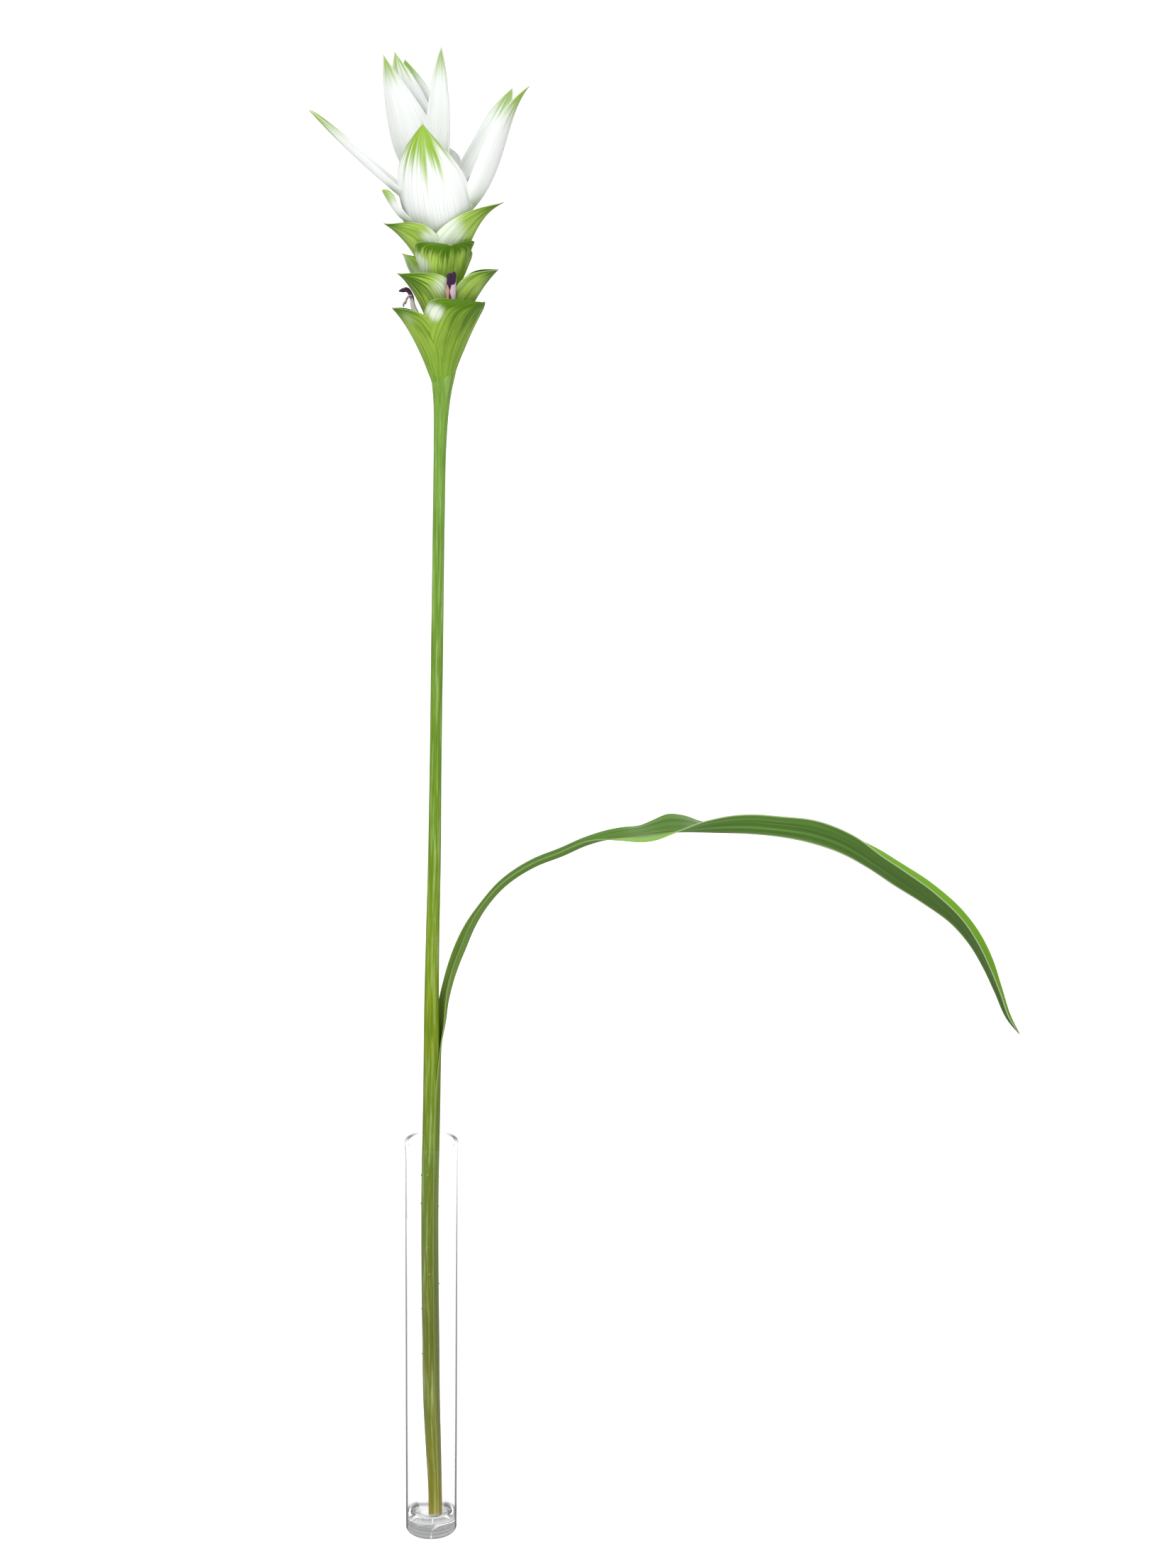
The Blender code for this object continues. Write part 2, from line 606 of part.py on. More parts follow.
def make_green_bracts(name, extra, material):
    """Green lower part of the head. Extra thickens it all round."""
    pieces = [make_core(name + "_core", GREEN_CORE, extra, material)]
    pieces += bract_pieces(name, GREEN_BRACTS, extra, material)
    item = join_pieces(name, pieces, material)
    round_shading(item)
    return item


def make_white_bracts(keep_clear_of, material):
    """White crown of the head."""
    pieces = [make_core("white_core", WHITE_CORE, 0.0, material)]
    pieces += bract_pieces("white", WHITE_BRACTS, 0.0, material)
    crown = join_pieces("crown", pieces, material)
    item = clear_of("white_bracts", crown, keep_clear_of, material)
    round_shading(item)
    return item


def make_flower(name, turn, tube, petals, keep_clear_of, material):
    """Small flower with a round tube and its petals."""
    pieces = [tube_in_plane(name + "_tube", turn, tube, FLOWER_SIDES, material)]
    for number, petal in enumerate(petals):
        grid = bract_grid(petal, PETAL_ROWS, PETAL_COLUMNS)
        pieces.append(sheet_solid(f"{name}_{number}", grid, PETAL_THICKNESS, material))
    bloom = join_pieces(name + "_bloom", pieces, material)
    item = clear_of(name, bloom, keep_clear_of, material)
    round_shading(item)
    return item


def main():
    clear_scene()
    glass = plain_material("glass", (0.9, 0.92, 0.92), 0.03, 1.0)
    stalk_green = plain_material("stalk_green", (0.25, 0.36, 0.08), 0.45)
    leaf_green = plain_material("leaf_green", (0.10, 0.22, 0.03), 0.45)
    bract_green = plain_material("bract_green", (0.18, 0.32, 0.07), 0.45)
    bract_white = plain_material("bract_white", (0.85, 0.86, 0.80), 0.5)
    violet = plain_material("violet", (0.22, 0.08, 0.28), 0.5)
    make_vase(glass)
    make_stalk(stalk_green)
    make_leaf(leaf_green)
    make_green_bracts("green_bracts", 0.0, bract_green)
    clearance = make_green_bracts("clearance", GAP, bract_green)
    make_white_bracts(clearance, bract_white)
    make_flower(
        "violet_flower_front",
        FRONT_FLOWER_TURN,
        FRONT_FLOWER_TUBE,
        FRONT_FLOWER_PETALS,
        clearance,
        violet,
    )
    make_flower(
        "violet_flower_side",
        SIDE_FLOWER_TURN,
        SIDE_FLOWER_TUBE,
        SIDE_FLOWER_PETALS,
        clearance,
        violet,
    )
    bpy.data.objects.remove(clearance, do_unlink=True)


main()
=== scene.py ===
"""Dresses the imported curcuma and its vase: fine surfaces, materials, camera and light.

Lengths are written in millimetres and become metres when a mesh is made.
The viewer stands on the -Y side, and turns are counted from there towards +X.
"""

import math
from collections import namedtuple

import bmesh
import bpy
import numpy as np
from mathutils import Matrix, Vector


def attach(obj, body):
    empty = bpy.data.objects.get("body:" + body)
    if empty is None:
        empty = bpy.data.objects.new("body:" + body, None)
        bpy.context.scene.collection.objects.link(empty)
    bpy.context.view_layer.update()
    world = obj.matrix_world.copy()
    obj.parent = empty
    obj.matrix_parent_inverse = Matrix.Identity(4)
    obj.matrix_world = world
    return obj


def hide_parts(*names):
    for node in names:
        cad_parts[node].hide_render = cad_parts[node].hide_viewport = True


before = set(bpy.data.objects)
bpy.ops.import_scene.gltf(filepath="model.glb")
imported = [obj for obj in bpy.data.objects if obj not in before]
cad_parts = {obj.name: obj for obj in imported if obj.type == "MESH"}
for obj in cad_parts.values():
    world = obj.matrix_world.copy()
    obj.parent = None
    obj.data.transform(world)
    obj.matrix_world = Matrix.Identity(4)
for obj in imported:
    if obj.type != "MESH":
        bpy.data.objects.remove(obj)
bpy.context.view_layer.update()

MM = 0.001
TINY = 1e-9
UPWARD = np.array([0.0, 0.0, 1.0])
# What a piece is made of, the CAD node that it replaces and the slot of its finish
Kind = namedtuple("Kind", "material node slot")

# Glass cylinder
VASE_SIDES = 144
VASE_HEIGHT = 206
VASE_RADIUS = 12.5
VASE_BORE_RADIUS = 10.6
VASE_FLARE = 0.4
VASE_FLARE_START = 197
VASE_FLOOR = 8.5
VASE_FOOT_ROUND = 1.8
VASE_BORE_ROUND = 5
VASE_LIP_ROUND = (VASE_RADIUS - VASE_BORE_RADIUS) / 2
ROUND_STEPS = 12
WALL_STEPS = 40
FOOT_RIPPLE = 0.1
FOOT_RIPPLE_PITCH = 1.7
FOOT_RIPPLE_LOBES = 3
# How much of the glass shows where it is seen face on, and how far above the floor the foot still does
FOOT_SHOWN = 1
FOOT_SHOWN_ABOVE = 2
BORE_ROUND_SHOWN = 0.6
LIP_INSIDE_SHOWN = 0.95
LIP_OUTSIDE_SHOWN = 0.05
WALL_SHOWN = 0.02
# How grey the glass is painted there: shade on the foot and its inner rounding, dark reflection on the lip
FOOT_PAINTED_SHADE = 0.7
BORE_ROUND_PAINTED_SHADE = 0.25
LIP_PAINTED_REFLECTION = 2.5
# Where the lip shows most, with its painted dark reflection, as the sine of the turn from the side
# towards the back, how widely it does, and the outer part of its width that stays clear
LIP_PLACE = 0.35
LIP_SPREAD = 0.45
LIP_CLEAR = 0.25
# How strongly the painted dark reflection along the outline of the wall shows: height, strength
WALL_PAINTED_EDGE = [(0, 1.9), (30, 1.8), (60, 1.5), (130, 1.2), (195, 0.6), (206, 0.5)]
EDGE_SHOWN = 0.9
# How dull the glass gets where its painted dark outline and its painted dark lip show
EDGE_DULL = 0.75

# Water beads on the stalk, and how far the leaf's sheath stands out from it and reaches round it
DROP_SIDES = 16
DROP_ROWS = 9
DROP_CAP = 80
DROP_HEIGHT_SHARE = 1.25
SHEATH_SKIN = 0.3
SHEATH_REACH = 90
# Height, turn from the viewer, radius
DROPS = [
    (186.1, -80, 0.42),
    (187.5, -12, 0.32),
    (185.2, 80, 0.36),
    (171.6, -84, 0.42),
    (170.3, 82, 0.4),
    (150.8, 2, 0.34),
    (145, -4, 0.3),
    (137, 2, 0.4),
    (130.6, 84, 0.45),
    (117.5, -82, 0.36),
    (94.1, -80, 0.4),
    (83.9, -70, 0.42),
]

# Flower stalk: height, sideways place, depth, radius. Low down it fills the leaf's sheath.
STALK_SIDES = 72
STALK_ROWS = 300
STALK_RIDGES = 11
STALK_RIDGE_HEIGHT = 0.045
STALK_RIDGE_TWIST = 0.4
STALK_TWIST_LENGTH = 60
STALK_FLUTES = 5
STALK_FLUTE_SHARE = 0.6
STALK_FLUTE_TURN = 1.3
STALK = [
    (8.9, 2, -2.4, 3.2),
    (22, 1.8, -2, 3.2),
    (45, 0.9, -1, 3.6),
    (68, 0, 0, 3.9),
    (100, -0.5, 1.4, 4),
    (136, -1, 2.9, 4),
    (191, -1, 5.3, 4),
    (206, -0.7, 5.8, 4),
    (235, -0.4, 7, 3.9),
    (265, -0.5, 8, 3.55),
    (302, -0.1, 9.3, 3.2),
    (343, 0.7, 10.8, 3),
    (384, 1.1, 12.2, 2.75),
    (444, 1.7, 14.1, 2.75),
    (503, 2.3, 16.1, 2.7),
    (538, 2.8, 17.2, 2.9),
    (550, 3.2, 17.5, 3.3),
    (557, 3.5, 17.7, 3.85),
    (562, 3.7, 17.9, 4.5),
    (566, 3.9, 18, 5.2),
    (571, 4, 18.1, 6),
]
# Where the stalk goes on unseen, inside the lowest bracts
STALK_INSIDE = [(575, 4, 18.2, 5.6), (584, 3.9, 18.4, 3.2)]

# Axis of the flower head: height, sideways place, depth
HEAD_AXIS = [
    (560, 3.7, 17.8),
    (600, 2.9, 19),
    (640, 1.2, 20.3),
    (680, -0.8, 21.5),
    (720, -2.8, 22.5),
]

# Leaf sheath around the stalk: height, radius, wrap towards the front, wrap round the back
SHEATH_TURN = 118
SHEATH_LOW = [
    (9.1, 3.25), (22, 3.25), (45, 3.65), (68, 3.95), (100, 4.05), (136, 4.05), (175, 4.05), (206, 4.05)
]
SHEATH = [(*row, 93, 135) for row in SHEATH_LOW]
SHEATH += [(225, 4.1, 90, 130), (240, 4.2, 72, 115), (252, 4.7, 48, 95)]

# Free part of the leaf, along its keel: sideways place, depth, height, turn of the keel,
# then for the front half and the back half: width, lift at the keel, further bend
BLADE = [
    (6, 9.8, 263, 22, 3.8, 10, 40, 5, 0, 75),
    (7.4, 10, 273, 16, 3.8, 15, 45, 5, 20, 75),
    (9.3, 10, 281.3, 12, 3.8, 20, 50, 5, 30, 70),
    (12, 10, 290.2, 6, 3.8, 20, 60, 5.4, 35, 70),
    (15.2, 9.5, 298.7, 2, 3.8, 20, 60, 5.8, 35, 70),
    (19.4, 9, 309.6, 0, 3.8, 20, 60, 5.2, 30, 60),
    (24.6, 9, 319.2, 0, 3.7, 20, 60, 4.4, 20, 60),
    (34, 8.5, 330.8, 0, 3.7, 20, 60, 4.3, 20, 60),
    (47.5, 8.5, 340.3, 0, 3.8, 20, 60, 4.4, 20, 60),
    (60.7, 8.5, 346, 0, 4, 20, 60, 4.5, 20, 60),
    (72, 8.5, 351.4, 0, 4.6, 20, 40, 4.6, 20, 50),
    (80, 8.5, 353.9, 0, 5.6, 15, 10, 5.2, 20, 40),
    (87, 8.5, 355, 0, 7, 12, -10, 6.6, 25, 10),
    (96, 8.5, 356.3, 0, 9.6, 4, -12, 9.2, 18, -10),
    (103, 8.5, 357.3, 0, 11, 5, -10, 10.8, 24, -8),
    (109.5, 8.5, 358, 0, 12, 14, -8, 12, 33, -8),
    (116, 8.5, 358.4, 0, 12.5, 24, -4, 12.4, 27, -8),
    (125, 8.5, 358.5, 0, 13, 38, 0, 12.8, 10, -8),
    (133, 8.5, 358.4, 0, 13.4, 47, 2, 13.2, 8, -6),
    (145.5, 8.5, 358.2, 0, 13.6, 55, 4, 13.5, 14, -4),
    (160, 8.5, 357, 0, 13.8, 57, 4, 13.8, 18, -4),
    (175, 8.5, 354.2, 0, 14, 63, 4, 14, 24, -4),
    (190, 8.5, 349.2, 0, 13.8, 58, 4, 14, 28, -4),
    (203, 8.5, 342.2, 0, 13.6, 47, 4, 13.8, 36, -4),
    (215, 8.5, 334.2, 0, 12.8, 50, 4, 13.4, 42, -4),
    (228.8, 8.5, 325.6, 0, 11.4, 49, 4, 12.4, 46, -4),
    (243.8, 8.5, 314.6, 0, 9.2, 40, 4, 10.4, 46, -4),
    (252.2, 8.5, 304.9, 0, 8, 31, 4, 9.2, 47, -4),
    (258.8, 8.5, 294.2, 0, 6.8, 26, 4, 7.8, 48, -4),
    (265, 8.5, 281.8, 0, 5, 27, 4, 5.6, 44, 0),
    (271.5, 8.5, 268.4, 0, 2.8, 30, 0, 3.2, 42, 0),
    (278, 8.5, 260.6, 0, 0, 40, 0, 0, 42, 0),
]
LEAF_ROWS = 380
LEAF_FRONT_COLUMNS = 24
LEAF_BACK_COLUMNS = 34
LEAF_THICKNESS = 0.56
LEAF_VEINS = 13
LEAF_VEIN_HEIGHT = 0.035
BLADE_START = 290
VEIN_EASE = 40
LEAF_LENGTH = 600

TIP_HOLLOW = 1.25
# Bracts. Turn from the viewer, then reach and height of the four points that steer the
# midline, half the width, the share of it at the foot, where it is widest, the wrap near
# the foot and near the tip, how blunt the tip is, how far it leans sideways, how hollow the
# outline is beside the tip, the share of the width that each margin keeps, and whether the
# lower half clasps the stalk.
Bract = namedtuple(
    "Bract",
    "turn foot knee belly tip half_width share widest hug flare blunt lean hollow minus plus clasp",
    defaults=(0, TIP_HOLLOW, 1, 1, False),
)
BRACT_THICKNESS = 0.6
BRACT_ROWS = 64
BRACT_COLUMNS = 52
BRACT_RIBS = 15
BRACT_RIB_HEIGHT = 0.03
BRACT_WAVE = 0.22
BRACT_WAVE_EDGE = 5
BRACT_WAVE_TURNS = 17
BRACT_WAVE_SHIFT = 2.1
FLARE_CURVE = 3
LEAN_CURVE = 1.4
FOOT_TAPER = 5
FOOT_THINNING = 0.8
CLASP_EASE = 0.4
RIM_GREEN_SHARE = 0.45
WHITE_SEED = 20
# How closely the rows lie near a tip, how evenly the columns, and how a blade thins to its edge
TIP_ROWS = 1.4
EVEN_COLUMNS = 0.45
EDGE_ROUND = 0.7
EDGE_THICKNESS = 0.14
# Points this close together in a tip become one, in metres
TIP_MERGE = 2e-6

GREEN_BRACTS = [
    Bract(-88, (4.7, 564.5), (5.4, 568.5), (13.2, 589.5), (21.8, 597.5),
          20, 0.38, 0.66, 104, 45, 2.6, 0, 1.25, 0.75, 1, True),
    Bract(58, (4.7, 564.5), (5.2, 569.5), (12.6, 588), (22.4, 602),
          24.5, 0.32, 0.8, 114, 60, 3, 0, 1.25, 1, 0.6, True),
    Bract(178, (4.7, 564.5), (6, 569), (12.5, 589), (18, 597.5),
          13, 0.45, 0.6, 75, 45, 2.2, 0, 1.5, 1, 1, True),
    Bract(-62, (4.4, 588), (7, 594), (11.5, 608.3), (20.8, 613.8),
          20, 0.35, 0.62, 95, 40, 2.2, 0, 1.4, 0.6),
    Bract(98, (4.4, 588), (11, 590), (16, 606.5), (26.4, 614.8),
          22, 0.35, 0.7, 105, 34, 2.3, 0, 1.3, 0.93, 0.7),
    Bract(-132, (4.4, 594), (7, 600), (10, 614), (23.8, 619.7), 13, 0.35, 0.6, 70, 25, 1.8, 0, 1.5, 1, 0.8),
    Bract(20, (4.4, 601), (9, 606), (12, 618), (18.3, 627.2), 16.5, 0.35, 0.78, 84, 46, 4.2, 0, 1),
    Bract(140, (4.4, 600), (9, 605), (13, 617), (18, 622), 13, 0.35, 0.7, 75, 45, 2.6),
    Bract(-90, (4.4, 606), (7, 613), (12, 628), (24, 634.5), 23, 0.32, 0.64, 108, 30, 2.2, 0, 1.4, 0.7),
    Bract(74, (4.4, 608), (12, 616), (14.5, 638.5), (31.6, 645.3),
          20, 0.35, 0.44, 92, 40, 1.6, 0, 1.4, 1, 0.7),
    Bract(-170, (4.4, 608), (9, 614), (13, 630), (25, 636), 19, 0.35, 0.7, 85, 45, 2.6),
]

WHITE_BRACTS = [
    Bract(-21, (2, 627.5), (13, 628), (21.5, 659), (10, 678.5), 24, 0.55, 0.42, 82, 44, 2.6, -0.3),
    Bract(-80, (2, 632), (16, 632), (20, 641.5), (24, 649.3), 6, 0.5, 0.72, 65, 100, 3.6, 0, 0.8),
    Bract(-92, (2, 634), (12, 644), (31, 656.5), (54.4, 683), 8, 0.5, 0.5, 60, 50, 3.6, 0, 0.7),
    Bract(84, (2, 632), (33, 645.5), (29.5, 681), (43.6, 695.2), 14, 0.5, 0.46, 92, 30, 1.8, 0, 1),
    Bract(118, (2, 640), (17, 653), (35, 676), (39.6, 692.6), 10.5, 0.5, 0.6, 50, 25, 2.6, 0, 1),
    Bract(-160, (2, 641), (10, 656), (14, 680), (14, 707), 13, 0.85, 0.45, 50, 25, 1.7, 17.2, 1.1),
    Bract(-168, (2, 643), (13, 660), (17, 684), (18, 708), 10, 0.5, 0.5, 60, 25, 2.2, 13, 1.1),
    Bract(-175, (2, 645), (15, 662), (20, 684), (22, 704.5), 11, 0.5, 0.5, 60, 25, 2.4, 10.5, 1.1),
    Bract(150, (2, 646), (8, 664), (9, 688), (8, 710.5), 8.5, 0.5, 0.4, 80, 75, 2, -1, 0.9),
    Bract(-150, (2, 642), (16, 652), (21, 668), (22, 682), 9, 0.5, 0.5, 60, 25, 2.2),
    Bract(176, (2, 640), (14, 650), (24, 660), (32, 667), 11, 0.5, 0.5, 60, 25, 2.2),
    Bract(150, (2, 636), (12, 637), (18, 648), (22, 657), 10, 0.5, 0.5, 60, 25, 2.2),
    Bract(-132, (2, 636), (11, 637), (16, 646), (20, 655), 9, 0.5, 0.5, 60, 25, 2.2),
]

# How a bract is coloured: reach of the deep green from the tip and from the rim, then a pale
# patch, partly pale colour and partly painted highlight: its place across and along the bract,
# its size and how strong it is. The last number is how deep the green gets.
Finish = namedtuple(
    "Finish",
    "tip rim patch_across patch_along patch_size patch_strength depth",
    defaults=(0, 0, 0.5, 0, 0, 1),
)
GREEN_FINISH = [
    Finish(18, 4, 0.5, 0.8, 9, 0.3, 0.85),
    Finish(28, 9, -0.84, 0.78, 7.8, 1.0, 0.68),
    Finish(14, 3, 0.3, 0.6, 5, 0.3, 1),
    Finish(27, 9, 0.84, 0.62, 9.5, 0.8, 0.95),
    Finish(25, 6, -0.85, 0.66, 9, 0.25, 1),
    # This bract faces back into shade; its broad, strong pale patch and shallow green are painted light.
    Finish(4, 1, 0.4, 0.6, 12, 0.9, 0.5),
    Finish(14, 13, -0.85, 0.6, 9.5, 1.05, 1),
    Finish(12, 4, 0.3, 0.6, 5, 0.3, 1),
    Finish(26, 3, 0.95, 0.54, 13, 1.1, 0.75),
    Finish(29, 3, -0.8, 0.52, 15, 1.1, 0.8),
    Finish(20, 4, 0.0, 0.55, 8, 0.6, 1),
]
WHITE_FINISH = [Finish(tip, rim, depth=depth) for tip, rim, depth in (
    (32, 0, 1), (14, 2, 0.8), (30, 0, 0.85), (30, 0, 0.85), (30, 0, 0.75), (22, 0, 0.75), (22, 0, 0.75),
    (20, 1.5, 0.8), (23, 0, 0.75), (18, 0, 0.6), (16, 0, 0.6), (15, 0, 0.6), (15, 0, 0.6),
)]
# Green streaks on the front white bract: place across, half width there, reach from the tip
FRONT_STREAKS = [
    (-0.42, 0.34, 35),
    (0.5, 0.36, 37),
    (0.1, 0.09, 56),
    (-0.12, 0.1, 28),
    (0.26, 0.1, 30),
]

# Core that carries the bracts: height, radius
GREEN_CORE = [(571.3, 4.9), (580, 5.4), (600, 5), (620, 4.2), (632, 3.6)]
WHITE_CORE = [(632.3, 3.4), (640, 3), (650, 2.4), (658, 1.4)]
CORE_SIDES = 48
CORE_ROWS = 24
# The core is coloured as a bract is at this share of its length
CORE_PLACE = 0.2

FLOWER_SIDES = 32
FLOWER_ROWS = 40
PETAL_THICKNESS = 0.5
PETAL_ROWS = 36
PETAL_COLUMNS = 24
PETAL_WAVE = 0.15
PETAL_WAVE_EDGE = 3
PETAL_WAVE_TURNS = 13
TUBE_TONE = 3
# Small violet flowers: node, turn from the viewer, then reach, height and radius along the tube.
# Then the petals in the terms of a bract, each with its own tone: 0 for pale lilac with
# violet veins, 1 for pink and 2 for near black. A tube runs from pale to near black.
FLOWERS = [
    ("violet_flower_front", 21, [
        (8.6, 589.5, 1.1), (10.8, 594, 1.2), (13, 599, 1.2), (14.2, 604, 1.1), (14.9, 609, 0.9),
        (15.2, 612, 0.5),
    ], [
        (Bract(24, (13.2, 598), (15.4, 603), (16.3, 609), (16.9, 613.6), 1.7, 0.9, 0.5, 60, 50, 9, 0.15), 0),
        (Bract(15.5, (13, 598), (15.2, 603), (16, 608), (16.5, 612.6), 0.75, 0.9, 0.5, 60, 50, 6), 1),
        (Bract(17.5, (14.8, 606), (16.2, 608.5), (17.2, 612), (17.3, 615), 1.3, 0.5, 0.7, 55, 60, 6, 0.1), 2),
        (Bract(23.5, (15, 607), (16.4, 609.5), (17.4, 612), (17.5, 615.5),
               1.35, 0.5, 0.7, 55, 60, 6, 0.2), 2),
    ]),
    ("violet_flower_side", -93, [
        (7, 586, 1.1), (9.6, 592, 1.3), (12.2, 597.5, 1.2), (12.9, 601, 0.9), (13.7, 603.6, 0.8),
        (15, 604.9, 0.75), (16.5, 605.1, 1), (17.4, 604.9, 0.8), (18.6, 604.6, 0.25),
    ], [
        (Bract(-90, (12.8, 602.6), (13.8, 603), (15.2, 601.5), (15.7, 598.8), 1.5, 0.8, 0.5, 70, 70, 4), 0),
        (Bract(-96, (12.2, 599), (12.6, 603), (14.2, 605.6), (16.2, 606.2), 1.3, 0.6, 0.6, 60, 60, 3), 2),
        (Bract(-86, (14.9, 600.2), (15.8, 600.2), (16.5, 599.4), (16.5, 597.9), 1.3, 0.8, 0.5, 80, 80, 4), 0),
    ]),
]

# Camera: place, pitch below the horizon, roll, lens, sensor and how far it sees, in metres
CAMERA_PLACE = (71.8, -1348.8, 770.0)
CAMERA_PITCH = 16
CAMERA_ROLL = 0.87
CAMERA_LENS = 70.14
CAMERA_SENSOR = 36
CAMERA_REACH = 60

# Floor in metres, and how much of its glow lights the object and mirrors in it
FLOOR_SIZE = 40
FLOOR_COLOUR = (0.3, 0.3, 0.3)
FLOOR_BOUNCE = 0.45
FLOOR_MIRRORED = 0.05
# Dark flags at both sides and in front: where each starts and ends, as the sine of its
# direction, and the brightness left there
SIDE_FLAGS = (0.5, 0.9, 0.15)
FRONT_FLAG = (0.1, 0.8, 0.5)
# Soft lights: name, place and width in metres, power. All look at the same place.
LIGHT_TARGET = (0.0, 0.02, 0.5)
LIGHTS = [
    ("key", (-0.9, -1.4, 1.7), 1.0, 22),
    ("fill", (1.3, -1.3, 1.3), 1.2, 9),
    ("back", (0.4, 1.4, 1.4), 1.0, 5),
]


def srgb(red, green, blue):
    """Linear colour of a screen colour."""
    shares = np.array([red, green, blue]) / 255
    linear = np.where(shares <= 0.04045, shares / 12.92, ((shares + 0.055) / 1.055) ** 2.4)
    return (*(float(share) for share in linear), 1.0)


def smooth_curve(stops, places):
    """Values on a smooth line through the stops, whose first column is the place along it."""
    stops = np.array(stops, float)
    knots = stops[:, 0]
    values = stops[:, 1:]
    slopes = np.gradient(values, knots, axis=0)
    places = np.clip(np.atleast_1d(places), knots[0], knots[-1])
    left = np.clip(np.searchsorted(knots, places, side="right") - 1, 0, len(knots) - 2)
    span = (knots[left + 1] - knots[left])[:, None]
    part = (places[:, None] - knots[left][:, None]) / span
    start = values[left] * (1 + 2 * part) * (1 - part) ** 2
    end = values[left + 1] * part**2 * (3 - 2 * part)
    leave = slopes[left] * span * part * (1 - part) ** 2
    arrive = slopes[left + 1] * span * part**2 * (part - 1)
    return start + end + leave + arrive


def unit(vectors):
    """Vectors of length one."""
    return vectors / np.maximum(np.linalg.norm(vectors, axis=-1, keepdims=True), TINY)


def fade(distance, reach):
    """One at no distance, falling smoothly to nothing at the reach."""
    share = np.clip(1 - distance / max(reach, TINY), 0, 1)
    return share * share * (3 - 2 * share)


def joined(*values):
    """Values side by side at every point. Each is spread over the points that it holds for."""
    return np.stack(np.broadcast_arrays(*values), axis=-1)


def full_turn(count):
    """Even angles once round."""
    return np.linspace(0, 2 * np.pi, count, endpoint=False)


def directions(turn_degrees):
    """Outward from the middle and sideways, at a turn from the viewer."""
    turn = math.radians(turn_degrees)
    outward = np.array([math.sin(turn), -math.cos(turn), 0.0])
    sideways = np.array([math.cos(turn), math.sin(turn), 0.0])
    return outward, sideways


def add_object(name, data):
    """New object in the scene."""
    item = bpy.data.objects.new(name, data)
    bpy.context.scene.collection.objects.link(item)
    return item


def new_piece(name, points, faces, kind, columns, merge=0.0):
    """Smooth piece with outward faces, a value for each point in every named column.

    Points closer together than the merge distance become one, without the faces between.
    """
    material, node, slot = kind
    mesh = bpy.data.meshes.new(name)
    mesh.from_pydata((np.asarray(points) * MM).tolist(), [], faces)
    for title, values in columns.items():
        layer = mesh.attributes.new(title, "FLOAT_VECTOR", "POINT")
        layer.data.foreach_set("vector", np.asarray(values, float).ravel())
    shape = bmesh.new()
    shape.from_mesh(mesh)
    if merge:
        bmesh.ops.remove_doubles(shape, verts=shape.verts, dist=merge)
    bmesh.ops.recalc_face_normals(shape, faces=shape.faces)
    shape.to_mesh(mesh)
    shape.free()
    mesh.shade_smooth()
    mesh.materials.append(material)
    piece = add_object(name, mesh)
    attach(piece, "root")
    if node:
        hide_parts(node)


def ring_faces(ring_count, side_count):
    """Faces of a closed skin through rings, with a fan at each end."""
    bottom = ring_count * side_count
    top = bottom + 1
    last = (ring_count - 1) * side_count
    faces = []
    for side in range(side_count):
        following = (side + 1) % side_count
        for row in range(ring_count - 1):
            low = row * side_count
            high = low + side_count
            faces.append((low + side, low + following, high + following, high + side))
        faces.append((side, following, bottom))
        faces.append((last + side, last + following, top))
    return faces


def with_ends(rings):
    """Points of the rings followed by the middle of the first and of the last."""
    middles = [rings[0].mean(axis=0), rings[-1].mean(axis=0)]
    return np.concatenate([rings.reshape(-1, rings.shape[-1]), middles])


def ring_piece(name, rings, kind, columns):
    """Closed piece through rings of points, with values for them in every named column."""
    faces = ring_faces(*rings.shape[:2])
    ended = {title: with_ends(values) for title, values in columns.items()}
    new_piece(name, with_ends(rings), faces, kind, ended)


def arc_points(x, z, radius, start, end):
    """Points of an arc in the plane of radius and height."""
    angles = np.radians(np.linspace(start, end, ROUND_STEPS))
    return np.column_stack([x + radius * np.cos(angles), z + radius * np.sin(angles)])


def vase_profile():
    """Outline of the glass, from the middle of the foot round to the middle of the floor."""
    foot = arc_points(VASE_RADIUS - VASE_FOOT_ROUND, VASE_FOOT_ROUND, VASE_FOOT_ROUND, -90, 0)
    lip_x = VASE_RADIUS - VASE_LIP_ROUND + VASE_FLARE
    lip = arc_points(lip_x, VASE_HEIGHT - VASE_LIP_ROUND, VASE_LIP_ROUND, 0, 180)
    bore_x = VASE_BORE_RADIUS - VASE_BORE_ROUND
    bore = arc_points(bore_x, VASE_FLOOR + VASE_BORE_ROUND, VASE_BORE_ROUND, 0, -90)
    outer = np.linspace(foot[-1], (VASE_RADIUS, VASE_FLARE_START), WALL_STEPS)[1:]
    inner = np.linspace((VASE_BORE_RADIUS, VASE_FLARE_START), bore[0], WALL_STEPS)[:-1]
    return np.concatenate([foot, outer, lip, inner, bore])


